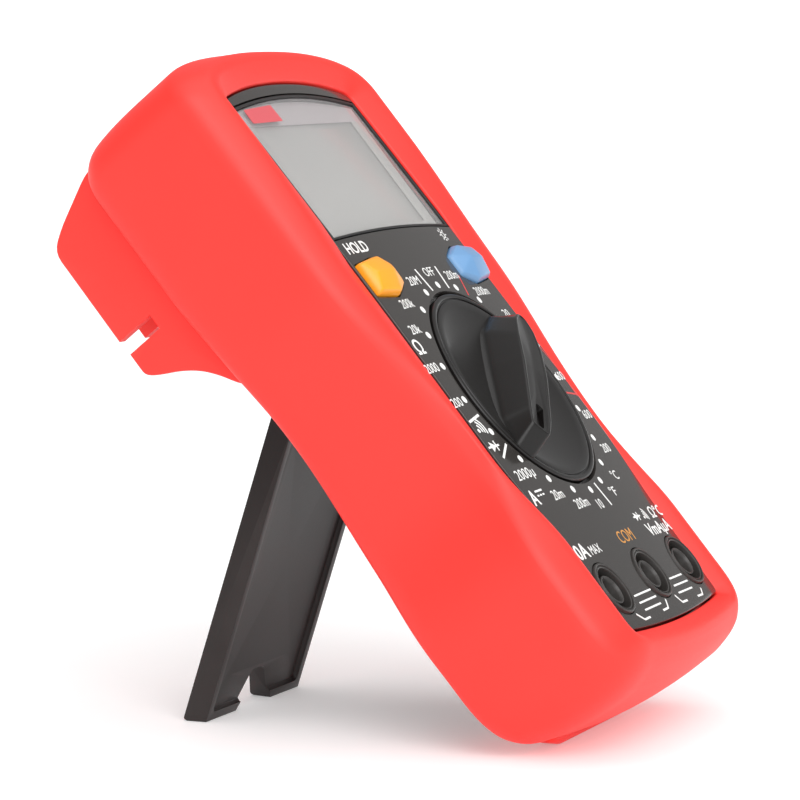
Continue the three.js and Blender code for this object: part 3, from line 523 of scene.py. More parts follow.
def holster_skin():
    """The rubber as one closed run of rings. Its side crease is crisp at the head, soft at the foot."""
    shell = outline(HOLSTER)
    head_share = np.clip((shell[:, 1] + 15) / 45, 0, 1)
    crease_round = 6.0 - 4.8 * head_share
    rings = [
        ring(outline(inset(HOLSTER, 1.8, 4.2, 1.6)), back_z),
        ring(outline(inset(HOLSTER, 0.4, 2.8, 0.5)), lambda x, y: back_z(x, y) + 2.6),
        ring(outline(inset(HOLSTER, 0, 0.7)), BACK_Z + 9),
        ring(shell, -9),
        ring(outline(inset(HOLSTER, 0, 0.9)), CREASE_Z),
        ring(outline(inset(HOLSTER, 0.9, 1.2, 0.95)), CREASE_Z + 2.9),
        ring(outline(CREST), crest_z),
        ring(outline(OPENING), lip_z),
        ring(outline(OPENING), LIP_UNDERSIDE),
        *[ring(case_outline(level, HOLSTER_WALL), level[0]) for level in CASE_LEVELS],
        ring(outline(BACK_WINDOW), BACK_Z + BACK_WALL),
        ring(outline(BACK_WINDOW), lambda x, y: 0.5 * (back_z(x, y) + BACK_Z)),
    ]
    # One corner radius for each ring, in the same order.
    radii = [1.4, 2.2, 7, 4, crease_round, 2.4, 2.2, 0.45, 0.3, 0.3, 0.5, 3, 3, 1, 0.5, 0.5]
    return skin(rounded(rings, radii, closed=True), closed=True)


HOLDER_BACK = -42.2
HOLDER_INNER, HOLDER_OUTER, HOLDER_WALL = 20.3, 33.0, 2.4
SLOT_LOW, SLOT_HIGH, SLOT_FLOOR = 42.5, 45.5, -34.3
CHANNEL_FLOOR = -30.2
BEHIND = -60
HEEL_PAD = dict(half=22, rest_half=15.5, rest_high=-53.4, rest_low=-56.3, root_z=-25)


def probe_holder(side):
    """One block on the back of the head: two walls with a channel for a probe between them."""
    profile = [(72.5, -26.2), (72.2, -28.9), (67.9, -38.5), (65.5, HOLDER_BACK), (39.2, HOLDER_BACK),
               (37.6, -41.6), (36.2, -39.5), (34.4, -36), (32.1, -32.9), (29.1, -30.4), (25.4, -28.2),
               (24.4, -26.2)]
    block = across(softened(profile, 2.2), HOLDER_INNER, HOLDER_OUTER)
    bevelled(block, 0.7, 3, 50)
    channel = across(softened([(15, CHANNEL_FLOOR), (15, BEHIND), (85, BEHIND), (85, CHANNEL_FLOOR)],
                              0.4, 2), HOLDER_INNER + HOLDER_WALL, HOLDER_OUTER - HOLDER_WALL)
    slot = across([(SLOT_HIGH, SLOT_FLOOR), (SLOT_HIGH, BEHIND), (SLOT_LOW, BEHIND),
                   (SLOT_LOW, SLOT_FLOOR)], 0, 60)
    low, step_z = SLOT_LOW + 0.1, HOLDER_BACK + 0.4
    shallow = across([(low, step_z), (low, BEHIND), (22, BEHIND), (22, step_z)], 0, 60)
    window = prism(outline(BACK_WINDOW), BEHIND, -20)
    cut(block, channel, slot, shallow, window)
    if side < 0:
        moved(block, Matrix.Scale(-1, 4, (1, 0, 0)))
    return block


def heel_pad():
    """Low proud pad across the lower back edge, flat where the meter rests on it."""
    up = (METER.inverted().to_3x3() @ Vector((0, 0, 1))).normalized()
    base = METER.inverted() @ Vector((0, 0, 0))
    root_z = HEEL_PAD["root_z"]
    points = []
    for side in (-1, 1):
        for y in (HEEL_PAD["rest_high"], HEEL_PAD["rest_low"]):
            floor_z = base.z - up.y * (y - base.y) / up.z
            points.append((side * HEEL_PAD["rest_half"], y, floor_z))
        for y, z in ((-49.5, -28.6), (-49.5, root_z), (-55.6, root_z), (-54.6, -26.6)):
            points.append((side * HEEL_PAD["half"], y, z))
    return bevelled(hull(points), 0.9, 4, 15)


def make_holster():
    body = holster_skin()
    joined(body, probe_holder(1), probe_holder(-1), heel_pad())
    piece(body, "holster_rubber", "meter", "red_rubber", "holster", sharp=40)


# ---- front panel
def lens_outline(grow=0.0, steps=24):
    """The window's outline, bowed at the bottom and arched at the top."""
    half, top, bottom = LENS["half"] + grow, LENS["shoulder"] + grow, LENS["bottom"] - grow
    low = bezier([(-half, bottom), (0, bottom + 2 * LENS["bow"]), (half, bottom)], steps)
    right = bezier([(half, bottom), (half, top)], steps)
    high = bezier([(half, top), (0, 2 * (LENS["apex"] + grow) - top), (-half, top)], steps)
    left = bezier([(-half, top), (-half, bottom)], steps)
    return np.concatenate([low, right, high, left])


# Six-sided button outline, x towards the meter's side: blunt inner end, widest at the middle.
BUTTON_OUTLINE = mirrored([(-6.0, -2.2), (-1.4, -4.2), (6.0, -3.3)])
# Heights below and above the panel that a cut through it runs between.
CUT_LOW, CUT_HIGH = -9, 5


def button_hole(side):
    """A tool for the panel's opening round one push button."""
    grown = [(x * 1.05, y * 1.07) for x, y in BUTTON_OUTLINE]
    hole = prism(softened(grown, 0.5), CUT_LOW, CUT_HIGH)
    hole = moved(hole, Matrix.Scale(side, 4, (1, 0, 0)))
    return shifted(hole, side * BUTTON["x"], BUTTON["y"])


def jack_places():
    return [(name, (i - 1) * JACK_PITCH) for i, name in enumerate(("left", "centre", "right"))]


def front_panel():
    """The domed panel with its side wall, and the openings for everything that shows in it."""
    plateau = outline(inset(OPENING, 0.35))
    under = outline(inset(OPENING, 1.1))
    shoulder_z = LIP_UNDERSIDE - GAP
    middle_y = 8
    case_fit = HOLSTER_WALL + GAP
    split = case_level_at(SPLIT_Z)

    def roof(x, y):
        return panel_z(x, y) - PANEL_THICKNESS
    top = [ring(scaled(plateau, s, middle_y), panel_z) for s in np.linspace(0.03, 0.985, 48)]
    sides = rounded([
        top[-1],
        ring(plateau, panel_z),
        ring(plateau, shoulder_z),
        ring(case_outline(CASE_LEVELS[0], case_fit), shoulder_z),
        ring(case_outline(CASE_LEVELS[1], case_fit), CASE_LEVELS[1][0] - GAP),
        ring(case_outline(split, case_fit), SPLIT_Z),
        ring(case_outline(split, case_fit + CASE_WALL), SPLIT_Z),
        ring(case_outline(CASE_LEVELS[1], case_fit + CASE_WALL), shoulder_z - CASE_WALL),
        ring(under, shoulder_z - CASE_WALL),
        ring(under, roof),
    ], [0, 0.25, 0, 0, 0, 0, 0, 0, 0, 0], steps=4)
    below = [ring(scaled(under, s, middle_y), roof) for s in (0.8, 0.6, 0.4, 0.2, 0.03)]
    panel = skin(top[:-1] + sides + below, fans=True)
    joined(panel, cylinder(WELL_RADIUS + 1.5, -3.5, -1.2))
    well = turned([(WELL_RADIUS, WELL_FLOOR), (WELL_RADIUS, -0.75), (WELL_RADIUS + 0.5, 0.2),
                   (WELL_RADIUS + 0.5, 6)], 128)
    lens_seat = prism(lens_outline(GASKET + GAP), LENS_UNDER - GAP, CUT_HIGH)
    display_x, display_y = LCD_HALF_X + 0.2, LCD_HALF_Y + 0.2
    display_cut = box(-display_x, display_x, LCD_MIDDLE - display_y, LCD_MIDDLE + display_y,
                      CUT_LOW, CUT_HIGH)
    jacks = [shifted(cylinder(JACK_RADIUS + 0.2, CUT_LOW, CUT_HIGH, 64), x, JACK_Y)
             for name, x in jack_places()]
    shaft = cylinder(6.6, CUT_LOW, CUT_HIGH, 48)
    cut(panel, well, lens_seat, display_cut, shaft, button_hole(-1), button_hole(1), *jacks)
    piece(panel, "front_panel", "meter", "black_panel", "front_case")


# ---- display window
def make_window():
    """The clear window, the seal round it, what is printed under it and the display glass."""
    def lens_z(x, y):
        return panel_z(x, y) - LENS_SUNK
    edge = lens_outline()
    inner = [ring(scaled(edge, s, LCD_MIDDLE), lens_z) for s in np.linspace(0.05, 0.98, 16)]
    rim = rounded([inner[-1], ring(edge, lens_z), ring(edge, LENS_UNDER)], [0, 0.25, 0], steps=4)
    low = [ring(scaled(edge, s, LCD_MIDDLE), LENS_UNDER) for s in (0.5, 0.05)]
    lens = skin(inner[:-1] + rim + low, fans=True)
    piece(lens, "window_lens", "meter", "clear_window", "display_window")

    seal_inner, seal_outer = lens_outline(0.12), lens_outline(GASKET)
    seal_rings = [ring(seal_inner, LENS_UNDER), ring(seal_inner, panel_z),
                  ring(seal_outer, panel_z), ring(seal_outer, LENS_UNDER)]
    seal = skin(rounded(seal_rings, [0, 0.18, 0.18, 0], steps=4, closed=True), closed=True)
    piece(seal, "window_seal", "meter", "grey_rubber", "window_gasket")

    band_y = 61.3
    printed = lens_outline(-0.1)
    band = prism(printed, LENS_UNDER - 0.2, LENS_UNDER - 0.04)
    surround = prism(printed, LENS_UNDER - 0.2, LENS_UNDER - 0.04)
    cut(band, box(-40, 40, 0, band_y, -9, 9))
    sight = prism(softened([(-21.4, 38), (21.4, 38), (21.4, 63), (-21.4, 63)], 0.6), -5, 5)
    cut(surround, box(-40, 40, band_y, 90, -9, 9), sight)
    piece(band, "window_band", "meter", "clear_window", look="grey_print")
    # The surround takes the display's finish, including its painted shade and light.
    piece(surround, "window_surround", "meter", "clear_window", look="lcd_glass")

    glass = box(-LCD_HALF_X, LCD_HALF_X, LCD_MIDDLE - LCD_HALF_Y, LCD_MIDDLE + LCD_HALF_Y,
                LCD_BACK, LCD_FRONT)
    bevelled(glass, 0.15, 2)
    piece(glass, "display_glass", "meter", "lcd_glass", "lcd_panel")


# ---- selector knob
def knob_dish():
    """The dial: a raised rim, a fine groove inside it and a face dished down to the middle."""
    under, rim, floor_z, centre = -1.6, 0.15, -1.05, 0.01
    # Steps inwards from the dial's edge, each with its depth under the rim.
    rim_steps = [(0, 0.3), (0.12, 0.08), (0.35, 0), (0.75, 0), (0.95, 0.1), (1.05, 0.32),
                 (1.3, 0.34), (1.45, 0.12), (1.7, 0.06)]
    profile = [(centre, under), (KNOB_RADIUS - 0.35, under), (KNOB_RADIUS, under + 0.3)]
    profile += [(KNOB_RADIUS - inwards, rim - down) for inwards, down in rim_steps]
    start_r, start_z = profile[-1]
    for t in np.linspace(0, 1, 14)[1:]:
        fall = 1 - (1 - min(1, 1.6 * t)) ** 2
        profile.append((max(start_r * (1 - t), centre), start_z + (floor_z - start_z) * fall))
    return turned(profile, 160)


KNOB_TOP = 5.25
TOP_HALF = 3.15


def knob_bar():
    """The grip across the dial: wide drafted foot, narrow crowned top, a blunt sloped tip."""
    foot = mirrored([(-20.5, -2.1), (-14.5, -4.9), (0, -5.9), (11.5, -6.3), (18.9, -4.2), (20.1, -1.6)])
    top = mirrored([(-17.6, -2.25), (-13.5, -2.75), (0, -TOP_HALF), (8.5, -TOP_HALF), (14.8, -2.4),
                    (18.0, -0.9)])
    foot, top = softened(foot, 1.2, 6), softened(top, 0.9, 6)

    def crown(x, y):
        return KNOB_TOP - 0.0032 * x * x

    def inner_crown(x, y):
        return crown(x, y) - 0.16
    edge = 0.45 / TOP_HALF
    levels = [
        ring(foot + np.sign(foot) * [0.2, 1.1], -1.5),
        ring(foot, -0.55),
        ring(foot + (top - foot) * 0.12, 0.35),
        ring(top, crown),
        ring(top * [0.985, 1 - edge], crown),
        ring(top * [0.975, 1 - 1.5 * edge], inner_crown),
        ring(top * [0.5, 0.3], inner_crown),
    ]
    return skin(rounded(levels, [0, 1.0, 0.6, 0.35, 0.12, 0.1, 0], steps=5), fans=True)


def make_knob():
    """Dial, grip with its pointer mark sunk in, and shaft, turned to where the grip points."""
    dish = knob_dish()
    bar = knob_bar()
    mark_foot = softened(mirrored([(-16.7, -0.8), (-11.2, -0.8)]), 0.6)
    mark_top = softened(mirrored([(-17.1, -1.05), (-10.8, -1.05)]), 0.6)
    mark = skin([ring(mark_foot, 3.4), ring(mark_top, 6)])
    cut(bar, mark)
    shaft = turned([(5.0, -6.6), (6.0, -6.0), (6.0, -1.2)], 48)
    joined(dish, bar, shaft)
    within = cylinder(KNOB_RADIUS + 0.02, -8, 8, 160)
    combined(dish, [within], "INTERSECT")
    moved(dish, Matrix.Rotation(KNOB_TURN, 4, "Z"))
    piece(dish, "selector_grip", "knob", "knob_plastic", "selector_knob", sharp=28)


# ---- push buttons
def make_button(side, name, slot, body, node):
    """A faceted cap: upright sides, a sloping inner end and two long facets along a low ridge."""
    ridge_z, edge_z, end_z = 2.5, 1.35, 1.0
    base = panel_z(BUTTON["x"], BUTTON["y"])
    points = []
    for x, y in BUTTON_OUTLINE:
        points += [(x, y, -2.6), (x, y, 0.3)]
    for y in (-1, 1):
        points += [(-5.5, y * 1.95, end_z), (-1.3, y * 3.7, edge_z), (5.5, y * 2.9, edge_z - 0.2)]
    points += [(-1.6, 0.3, ridge_z), (4.6, 0.3, ridge_z - 0.45)]
    cap = bevelled(hull(points), 0.42, 4, 8)
    cap = moved(cap, Matrix.Scale(side, 4, (1, 0, 0)))
    shifted(cap, side * BUTTON["x"], BUTTON["y"], base)
    piece(cap, name, body, slot, node, sharp=50)


# ---- input jacks
def make_jack(place, x):
    """A ringed sleeve with an inner tube, and the brass contact inside it."""
    top = panel_z(x, JACK_Y) + 0.4
    low = -8.2
    tube_top = top - 0.6
    # Steps inwards from the sleeve's edge, each with its depth under the rim.
    rim_steps = [(0, 0.3), (0.1, 0.08), (0.3, 0), (0.5, 0.05), (0.58, 0.3), (0.72, 0.3), (0.8, 0.12)]
    profile = [(JACK_RADIUS, low)] + [(JACK_RADIUS - inwards, top - down) for inwards, down in rim_steps]
    profile += [(4.2, top - 0.2), (4.12, top - 0.45), (4.05, low + 0.6), (2.9, low + 0.6),
                (2.9, tube_top - 0.12), (2.8, tube_top), (2.62, tube_top), (2.5, tube_top - 0.15),
                (2.25, tube_top - 0.6), (2.25, low)]
    sleeve = turned(profile, 72, closed=True)
    shifted(sleeve, x, JACK_Y)
    piece(sleeve, f"jack_ring_{place}", "meter", "black_plastic", f"jack_sleeve_{place}")
    contact = turned([(2.2, -20.5), (2.2, top - 4.4), (2.1, top - 4.3), (1.95, top - 4.3),
                      (1.85, top - 4.5), (1.85, -19), (0.02, -19), (0.02, -20.5)], 40, closed=True)
    shifted(contact, x, JACK_Y)
    piece(contact, f"jack_tube_{place}", "meter", "brass", f"jack_contact_{place}")


# ---- printed markings
PRINT_HEIGHT = 0.05


def text_shape(words, x, y, width, height, weight):
    """Flat lettering as a thin mesh centred on x, y. Height is that of a capital, weight thickens
    the strokes by a share of it."""
    curve = bpy.data.curves.new("text", "FONT")
    curve.body = words
    curve.size = height / 0.7
    curve.align_x = "CENTER"
    curve.offset = weight * height
    curve.extrude = PRINT_HEIGHT / 2
    curve.resolution_u = 3
    obj = linked("text", curve)
    mesh = bpy.data.meshes.new_from_object(obj.evaluated_get(bpy.context.evaluated_depsgraph_get()))
    bpy.data.objects.remove(obj)
    reach = [vert.co.x for vert in mesh.vertices]
    middle, natural = (max(reach) + min(reach)) / 2, max(reach) - min(reach)
    centred = Matrix.Translation((-middle, 0, 0))
    squeezed = Matrix.Diagonal((width / natural, 1, 1, 1))
    mesh.transform(Matrix.Translation((x, y - height / 2, 0)) @ squeezed @ centred)
    return linked("text", mesh)


def inked(points):
    """A flat printed area."""
    return prism(points, -PRINT_HEIGHT / 2, PRINT_HEIGHT / 2)


def dot_shape(x, y, radius):
    return shifted(cylinder(radius, -PRINT_HEIGHT / 2, PRINT_HEIGHT / 2, 24), x, y)


def stroke(x0, y0, x1, y1, width=0.35):
    """A straight printed line from one point to the other."""
    along = np.array([x1 - x0, y1 - y0])
    side = np.array([-along[1], along[0]]) / np.linalg.norm(along) * width / 2
    a, b = np.array([x0, y0]), np.array([x1, y1])
    return inked([a - side, b - side, b + side, a + side])


def arc(x, y, radius, start, end, width=0.3, steps=10):
    """A printed arc round x, y, with its angles in degrees."""
    angles = np.radians(np.linspace(start, end, steps))
    far, near = radius + width / 2, radius - width / 2
    outer = [(x + far * math.cos(a), y + far * math.sin(a)) for a in angles]
    inner = [(x + near * math.cos(a), y + near * math.sin(a)) for a in reversed(angles)]
    return inked(outer + inner)


def path(points, width):
    """Printed lines from each point to the next."""
    return [stroke(*a, *b, width) for a, b in zip(points, points[1:])]


def dial_mark(k, radius):
    """Place of range k, counted from the top against the clock, twenty to the turn."""
    angle = math.radians(90 + 18 * k)
    return radius * math.cos(angle), radius * math.sin(angle)


def separator(k, width=0.5):
    """A line outwards between two groups of ranges."""
    return stroke(*dial_mark(k, 22.2), *dial_mark(k, 27.2), width)


def beeper_symbol(x, y, size=1.0):
    """A dot with three sound waves."""
    dot_x, dot_y = x - 1.0 * size, y - 0.5 * size
    waves = [arc(dot_x, dot_y, r * size, -20, 70, 0.28 * size) for r in (0.8, 1.35, 1.9)]
    return [dot_shape(dot_x, dot_y, 0.3 * size)] + waves


def diode_symbol(x, y, size=1.0):
    """Triangle, bar and lead."""
    half, line, bar_x = 0.8 * size, 0.3 * size, x + 0.7 * size
    triangle = inked([(x - half, y - half), (x + 0.6 * size, y), (x - half, y + half)])
    bar = stroke(bar_x, y - half, bar_x, y + half, line)
    lead = stroke(x - 1.7 * size, y, x + 1.6 * size, y, line)
    return [triangle, bar, lead]


def direct_sign(x, y, size=1.0):
    """Solid line over three dashes."""
    rise, reach, dash = 0.4 * size, 1.35 * size, 0.32 * size
    dashes = [stroke(middle - dash, y - rise, middle + dash, y - rise, 0.3 * size)
              for middle in (x - size, x, x + size)]
    return [stroke(x - reach, y + rise, x + reach, y + rise, 0.34 * size)] + dashes


def lamp_symbol(x, y):
    """A ring with short rays round its upper side and a base line."""
    rays = []
    for a in np.radians([0, 45, 90, 135, 180, 225, 315]):
        c, s = math.cos(a), math.sin(a)
        rays.append(stroke(x + c, y + s, x + 1.6 * c, y + 1.6 * s, 0.25))
    base = stroke(x - 0.3, y - 1.2, x + 0.3, y - 1.2, 0.3)
    return [arc(x, y, 0.65, 0, 360, 0.25, 20), base] + rays


# Range number, words, centre x and y, width and height of the printed label.
DIAL_LABELS = [
    (0, "OFF", 0.3, 25.9, 4.4, 1.9), (1, "20M", -8.6, 24.6, 4.8, 1.9),
    (2, "200k", -17.7, 20.4, 4.8, 1.9), (3, "20k", -21.8, 15.2, 3.9, 1.9),
    (4, "2000", -26.0, 7.3, 4.8, 1.9), (5, "200", -26.2, -0.1, 3.7, 1.9),
    (7, "2000µ", -20.8, -16.2, 7.4, 2.1), (8, "20m", -14.4, -21.7, 4.5, 2.0),
    (9, "200m", -7.5, -24.6, 5.8, 2.0), (10, "10", -0.3, -25.9, 2.1, 2.0),
    (11, "°F", 9.2, -24.5, 2.8, 1.9), (12, "°C", 15.4, -21.6, 3.0, 1.9),
    (13, "200", 20.9, -16.0, 4.0, 1.9), (14, "600", 24.1, -8.6, 4.0, 1.9),
    (15, "600", 25.0, 0.2, 3.8, 1.9), (16, "200", 24.4, 7.8, 3.9, 1.9),
    (17, "20", 21.6, 14.9, 3.0, 1.9), (18, "2000m", 17.7, 20.4, 6.6, 1.9),
    (19, "200m", 9.3, 24.6, 5.6, 1.9),
]
# Words, centre x and y, width, height and weight of the other labels.
PANEL_LABELS = [
    ("Ω", -25.2, 11.7, 2.8, 2.9, 0.02), ("A", -23.9, -20.9, 2.7, 3.0, 0.025),
    ("HOLD", -20.5, 33.2, 8.4, 2.3, 0.025), ("10A", -21.6, -32.8, 6.2, 2.9, 0.025),
    ("MAX", -15.3, -33.3, 4.6, 1.8, 0), ("VmAµA", 18.4, -33.5, 12.6, 2.5, 0.02),
    ("Ω°C", 22.4, -30.5, 6.8, 2.2, 0.02),
]


def text_rows(lefts, rights, first_y, step):
    """Small plain bars that stand in for lines of fine print."""
    return [stroke(left, first_y - i * step, right, first_y - i * step, 0.35)
            for i, (left, right) in enumerate(zip(lefts, rights))]


def white_marks():
    """Everything printed in white: dial, labels, symbols, and the brackets between the jacks."""
    marks = [dot_shape(*dial_mark(k, DOT_RADIUS), 0.72) for k in range(20)]
    marks += [text_shape(words, *place, weight=0) for k, words, *place in DIAL_LABELS]
    marks += [text_shape(*label) for label in PANEL_LABELS]
    marks += [separator(k) for k in (0.55, -0.55, 5.5, 6.5, 10.5)]
    marks += beeper_symbol(-24.4, -5.6, 1.4) + diode_symbol(-24.6, -9.8, 1.3)
    marks += direct_sign(-20.6, -20.4, 1.1) + lamp_symbol(19.9, 33.4)
    marks += diode_symbol(11.6, -30.4, 1.1) + beeper_symbol(16.0, -30.5, 1.0)
    marks += path([(-17.4, -46.7), (-15.5, -48.2), (-3.3, -48.0), (-2.0, -46.4)], 0.4)
    marks += path([(3.1, -46.4), (4.4, -48.1), (16.1, -48.2), (17.3, -47.0)], 0.4)
    marks += text_rows((-13.4, -13.2, -13.0), (-5.2, -4.9, -5.0), -43.7, 1.5)
    marks += text_rows((5.9, 5.7, 5.6), (12.9, 13.6, 13.4), -43.3, 1.5)
    return marks


def make_print(name, marks, look, lift=0.0):
    """Lays flat marks onto the domed panel as one thin skin of ink."""
    shape = bmesh.new()
    for mark in marks:
        shape.from_mesh(mark.data)
        bpy.data.objects.remove(mark)
    for vert in shape.verts:
        vert.co.z += panel_z(vert.co.x, vert.co.y) + lift
    mesh = bpy.data.meshes.new(name)
    shape.to_mesh(mesh)
    shape.free()
    piece(linked(name, mesh), name, "meter", "white_plastic", look=look)


def make_prints():
    make_print("panel_print_white", white_marks(), "white_print")
    make_print("panel_print_orange", [text_shape("COM", 0.5, -33.0, 7.2, 2.5, 0)], "orange_print")
    red = [separator(14.5, 0.4), separator(18.5, 0.4), arc(0, 0, 26.6, -10, 20, 0.3, 16)]
    make_print("panel_print_red", red, "red_print")
    tag_edge = softened([(-22.4, 61.5), (-10.6, 61.5), (-10.8, 65.2), (-22.2, 64.6)], 0.4)
    tag = prism(tag_edge, -0.02, 0.02)
    make_print("window_tag", [tag], "tag_print", lift=0.04 - LENS_SUNK)


# ---- back: case, cover, screw
LUG = dict(x=16.4, half=1.2, radius=2.4, root_z=-26.6)
PIN_RADIUS = 1.3


def rear_shell():
    """The back half of the case, with a seat for the battery door and two lugs for the stand."""
    plateau = outline(inset(BACK_WINDOW, 0.35))
    floor_z = CASE_BACK_Z
    shoulder_z = BACK_Z + BACK_WALL + GAP
    fit = HOLSTER_WALL + GAP
    split = case_level_at(SPLIT_Z - GAP)
    rings = [
        ring(plateau, floor_z), ring(plateau, shoulder_z),
        ring(case_outline(CASE_LEVELS[4], fit), shoulder_z),
        ring(case_outline(CASE_LEVELS[3], fit), CASE_LEVELS[3][0]),
        ring(case_outline(CASE_LEVELS[2], fit), CASE_LEVELS[2][0]),
        ring(case_outline(split, fit), SPLIT_Z - GAP),
        ring(case_outline(split, fit + CASE_WALL), SPLIT_Z - GAP),
        ring(case_outline(CASE_LEVELS[3], fit + CASE_WALL), CASE_LEVELS[3][0]),
        ring(case_outline(CASE_LEVELS[4], fit + CASE_WALL), shoulder_z + CASE_WALL),
        ring(outline(inset(BACK_WINDOW, 3)), floor_z + 3),
    ]
    start = ring(scaled(plateau, 0.96), floor_z)
    end = ring(scaled(outline(inset(BACK_WINDOW, 3)), 0.5), floor_z + 3)
    shell = skin(rounded([start] + rings + [end], [0, 0.4] + [0] * 10, steps=4))
    seat = box(-HATCH["half"], HATCH["half"], HATCH["bottom"], HATCH["top"], -30, -25.9)
    well = box(-HATCH["half"], HATCH["half"], -33.8, -10.2, -30, -20)
    cut(shell, seat, well)
    lugs = []
    root = [(HINGE.y + LUG["radius"], LUG["root_z"]), (HINGE.y - LUG["radius"], LUG["root_z"])]
    for x in (-LUG["x"], LUG["x"]):
        angles = np.linspace(0, math.pi, 17)
        nose = [(HINGE.y + LUG["radius"] * math.cos(a), HINGE.z - LUG["radius"] * math.sin(a))
                for a in angles]
        lugs.append(across(root[:1] + nose + root[1:], x - LUG["half"], x + LUG["half"]))
    joined(shell, *lugs)
    pin_hole = cylinder(PIN_RADIUS + 0.35, -19, 19, 32)
    moved(pin_hole, Matrix.Translation((0, HINGE.y, HINGE.z)) @ Matrix.Rotation(math.pi / 2, 4, "Y"))
    cut(shell, pin_hole)
    piece(shell, "rear_shell", "meter", "black_plastic", "rear_case")


def battery_door():
    """The door in the back, with five shrinking grip ribs and a sunk hole for its screw."""
    half = HATCH["half"] - GAP
    edge = softened([(-half, HATCH["bottom"] + GAP), (half, HATCH["bottom"] + GAP),
                     (half, HATCH["top"] - GAP), (-half, HATCH["top"] - GAP)], 1.2)
    face = CASE_BACK_Z
    levels = [ring(edge, -26.2), ring(edge, face), ring(scaled(edge, 0.9, -24.3), face)]
    door = skin(rounded(levels, [0, 0.35, 0], steps=4))
    grips = []
    for i in range(5):
        y, half_length = -12.4 - 1.5 * i, 8 - i
        section = [(y - 0.4, face + 0.4), (y - 0.3, face - 0.25), (y + 0.3, face - 0.25),
                   (y + 0.4, face + 0.4)]
        grips.append(across(softened(section, 0.2, 3), -half_length, half_length))
    joined(door, *grips)
    hole = shifted(cylinder(1.6, -30, -20, 32), 0, HATCH["screw_y"])
    sink = shifted(cylinder(2.9, -30, -26.9, 48), 0, HATCH["screw_y"])
    cut(door, hole, sink)
    piece(door, "battery_door", "meter", "black_plastic", "battery_cover")


def door_screw():
    """A round-headed screw with a cross recess."""
    head = turned([(0.02, -27.9), (1.2, -27.88), (1.9, -27.75), (2.35, -27.45), (2.4, -27.2),
                   (1.15, -27.0), (1.15, -22.6), (0.02, -21.7)], 48)
    slots = [box(-1.3, 1.3, -0.25, 0.25, -29, -27.3), box(-0.25, 0.25, -1.3, 1.3, -29, -27.3)]
    cut(head, *slots)
    shifted(head, 0, HATCH["screw_y"])
    piece(head, "battery_door_screw", "meter", "steel", "battery_cover_screw")


# ---- kickstand
STAND_HALF, STAND_WALL = 20.0, 1.8
STAND_OUTER, STAND_INNER = -2.4, 2.0
STAND_DISH = dict(edge=1.1, middle=0.5, top=-4.0)
NOTCH = dict(foot=8.0, top=2.5, depth=7.5)
BOSS = dict(radius=2.4, half=1.2)


def stand_reach():
    """Distance from the hinge to the resting surface along the open stand."""
    hinge = Vector(JOINTS["stand_fold"]["pos_m"])
    down = (STAND.to_3x3() @ Vector((0, -1, 0))).normalized()
    return hinge.z / -down.z / MM


def notch_half(height):
    """Half width of the notch in the stand's foot at a height above the foot."""
    return NOTCH["foot"] - (NOTCH["foot"] - NOTCH["top"]) * height / NOTCH["depth"]


def kickstand_shell():
    """The stand: a dished plate with a notched foot cut level, bosses at its hinge and two pins."""
    reach = stand_reach()
    foot = -reach - 0.5
    blank = across(softened([(2.0, STAND_OUTER), (2.0, STAND_INNER), (foot, STAND_INNER),
                             (foot, STAND_OUTER)], 0.5), -STAND_HALF, STAND_HALF)
    sideways = Matrix.Rotation(math.pi / 2, 4, "Y")
    for side in (-1, 1):
        boss = cylinder(BOSS["radius"], -BOSS["half"], BOSS["half"], 40)
        moved(boss, Matrix.Translation((side * (STAND_HALF - BOSS["half"]), 0, 0)) @ sideways)
        joined(blank, boss)
    rim = STAND_HALF - STAND_WALL
    low, high = -reach + 2.2, STAND_DISH["top"]
    middle = (low + high) / 2
    edge = softened([(-rim, low), (rim, low), (rim, high + 8), (-rim, high + 8)], 1.2, 5)
    fall = STAND_DISH["middle"] - STAND_DISH["edge"]
    dish = [ring(scaled(edge, share, middle), STAND_DISH["edge"] + fall * (1 - share ** 2))
            for share in np.linspace(0.05, 0.985, 14)]
    hollow = skin(dish + [ring(edge, STAND_INNER - 0.2), ring(edge, STAND_INNER + 2)], fans=True)
    notch_low, notch_high = -reach - 6, -reach + NOTCH["depth"]
    notch_edge = softened([(-notch_half(-6), notch_low), (-NOTCH["top"], notch_high),
                           (NOTCH["top"], notch_high), (notch_half(-6), notch_low)], 1.2)
    notch = prism(notch_edge, -8, 8)
    top_slot = box(-rim, rim, -3.4, 5, -8, 8)
    cut(blank, hollow, top_slot, notch)
    ground = box(-30, 30, -14, 0, -20, 20)
    level = (STAND.inverted().to_3x3() @ Vector((0, 0, 1))).normalized()
    tilt = Vector((0, 1, 0)).rotation_difference(level).to_matrix().to_4x4()
    moved(ground, Matrix.Translation((0, -reach, 0)) @ tilt)
    cut(blank, ground)
    bevelled(blank, 0.28, 3, 40)
    pins = []
    for side in (-1, 1):
        pin = cylinder(PIN_RADIUS, 14.4, rim + 0.4, 32)
        pins.append(moved(pin, Matrix.Rotation(side * math.pi / 2, 4, "Y")))
    joined(blank, *pins)
    piece(blank, "kickstand_shell", "stand", "black_plastic", "kickstand", look="stand_plastic",
          place=STAND)


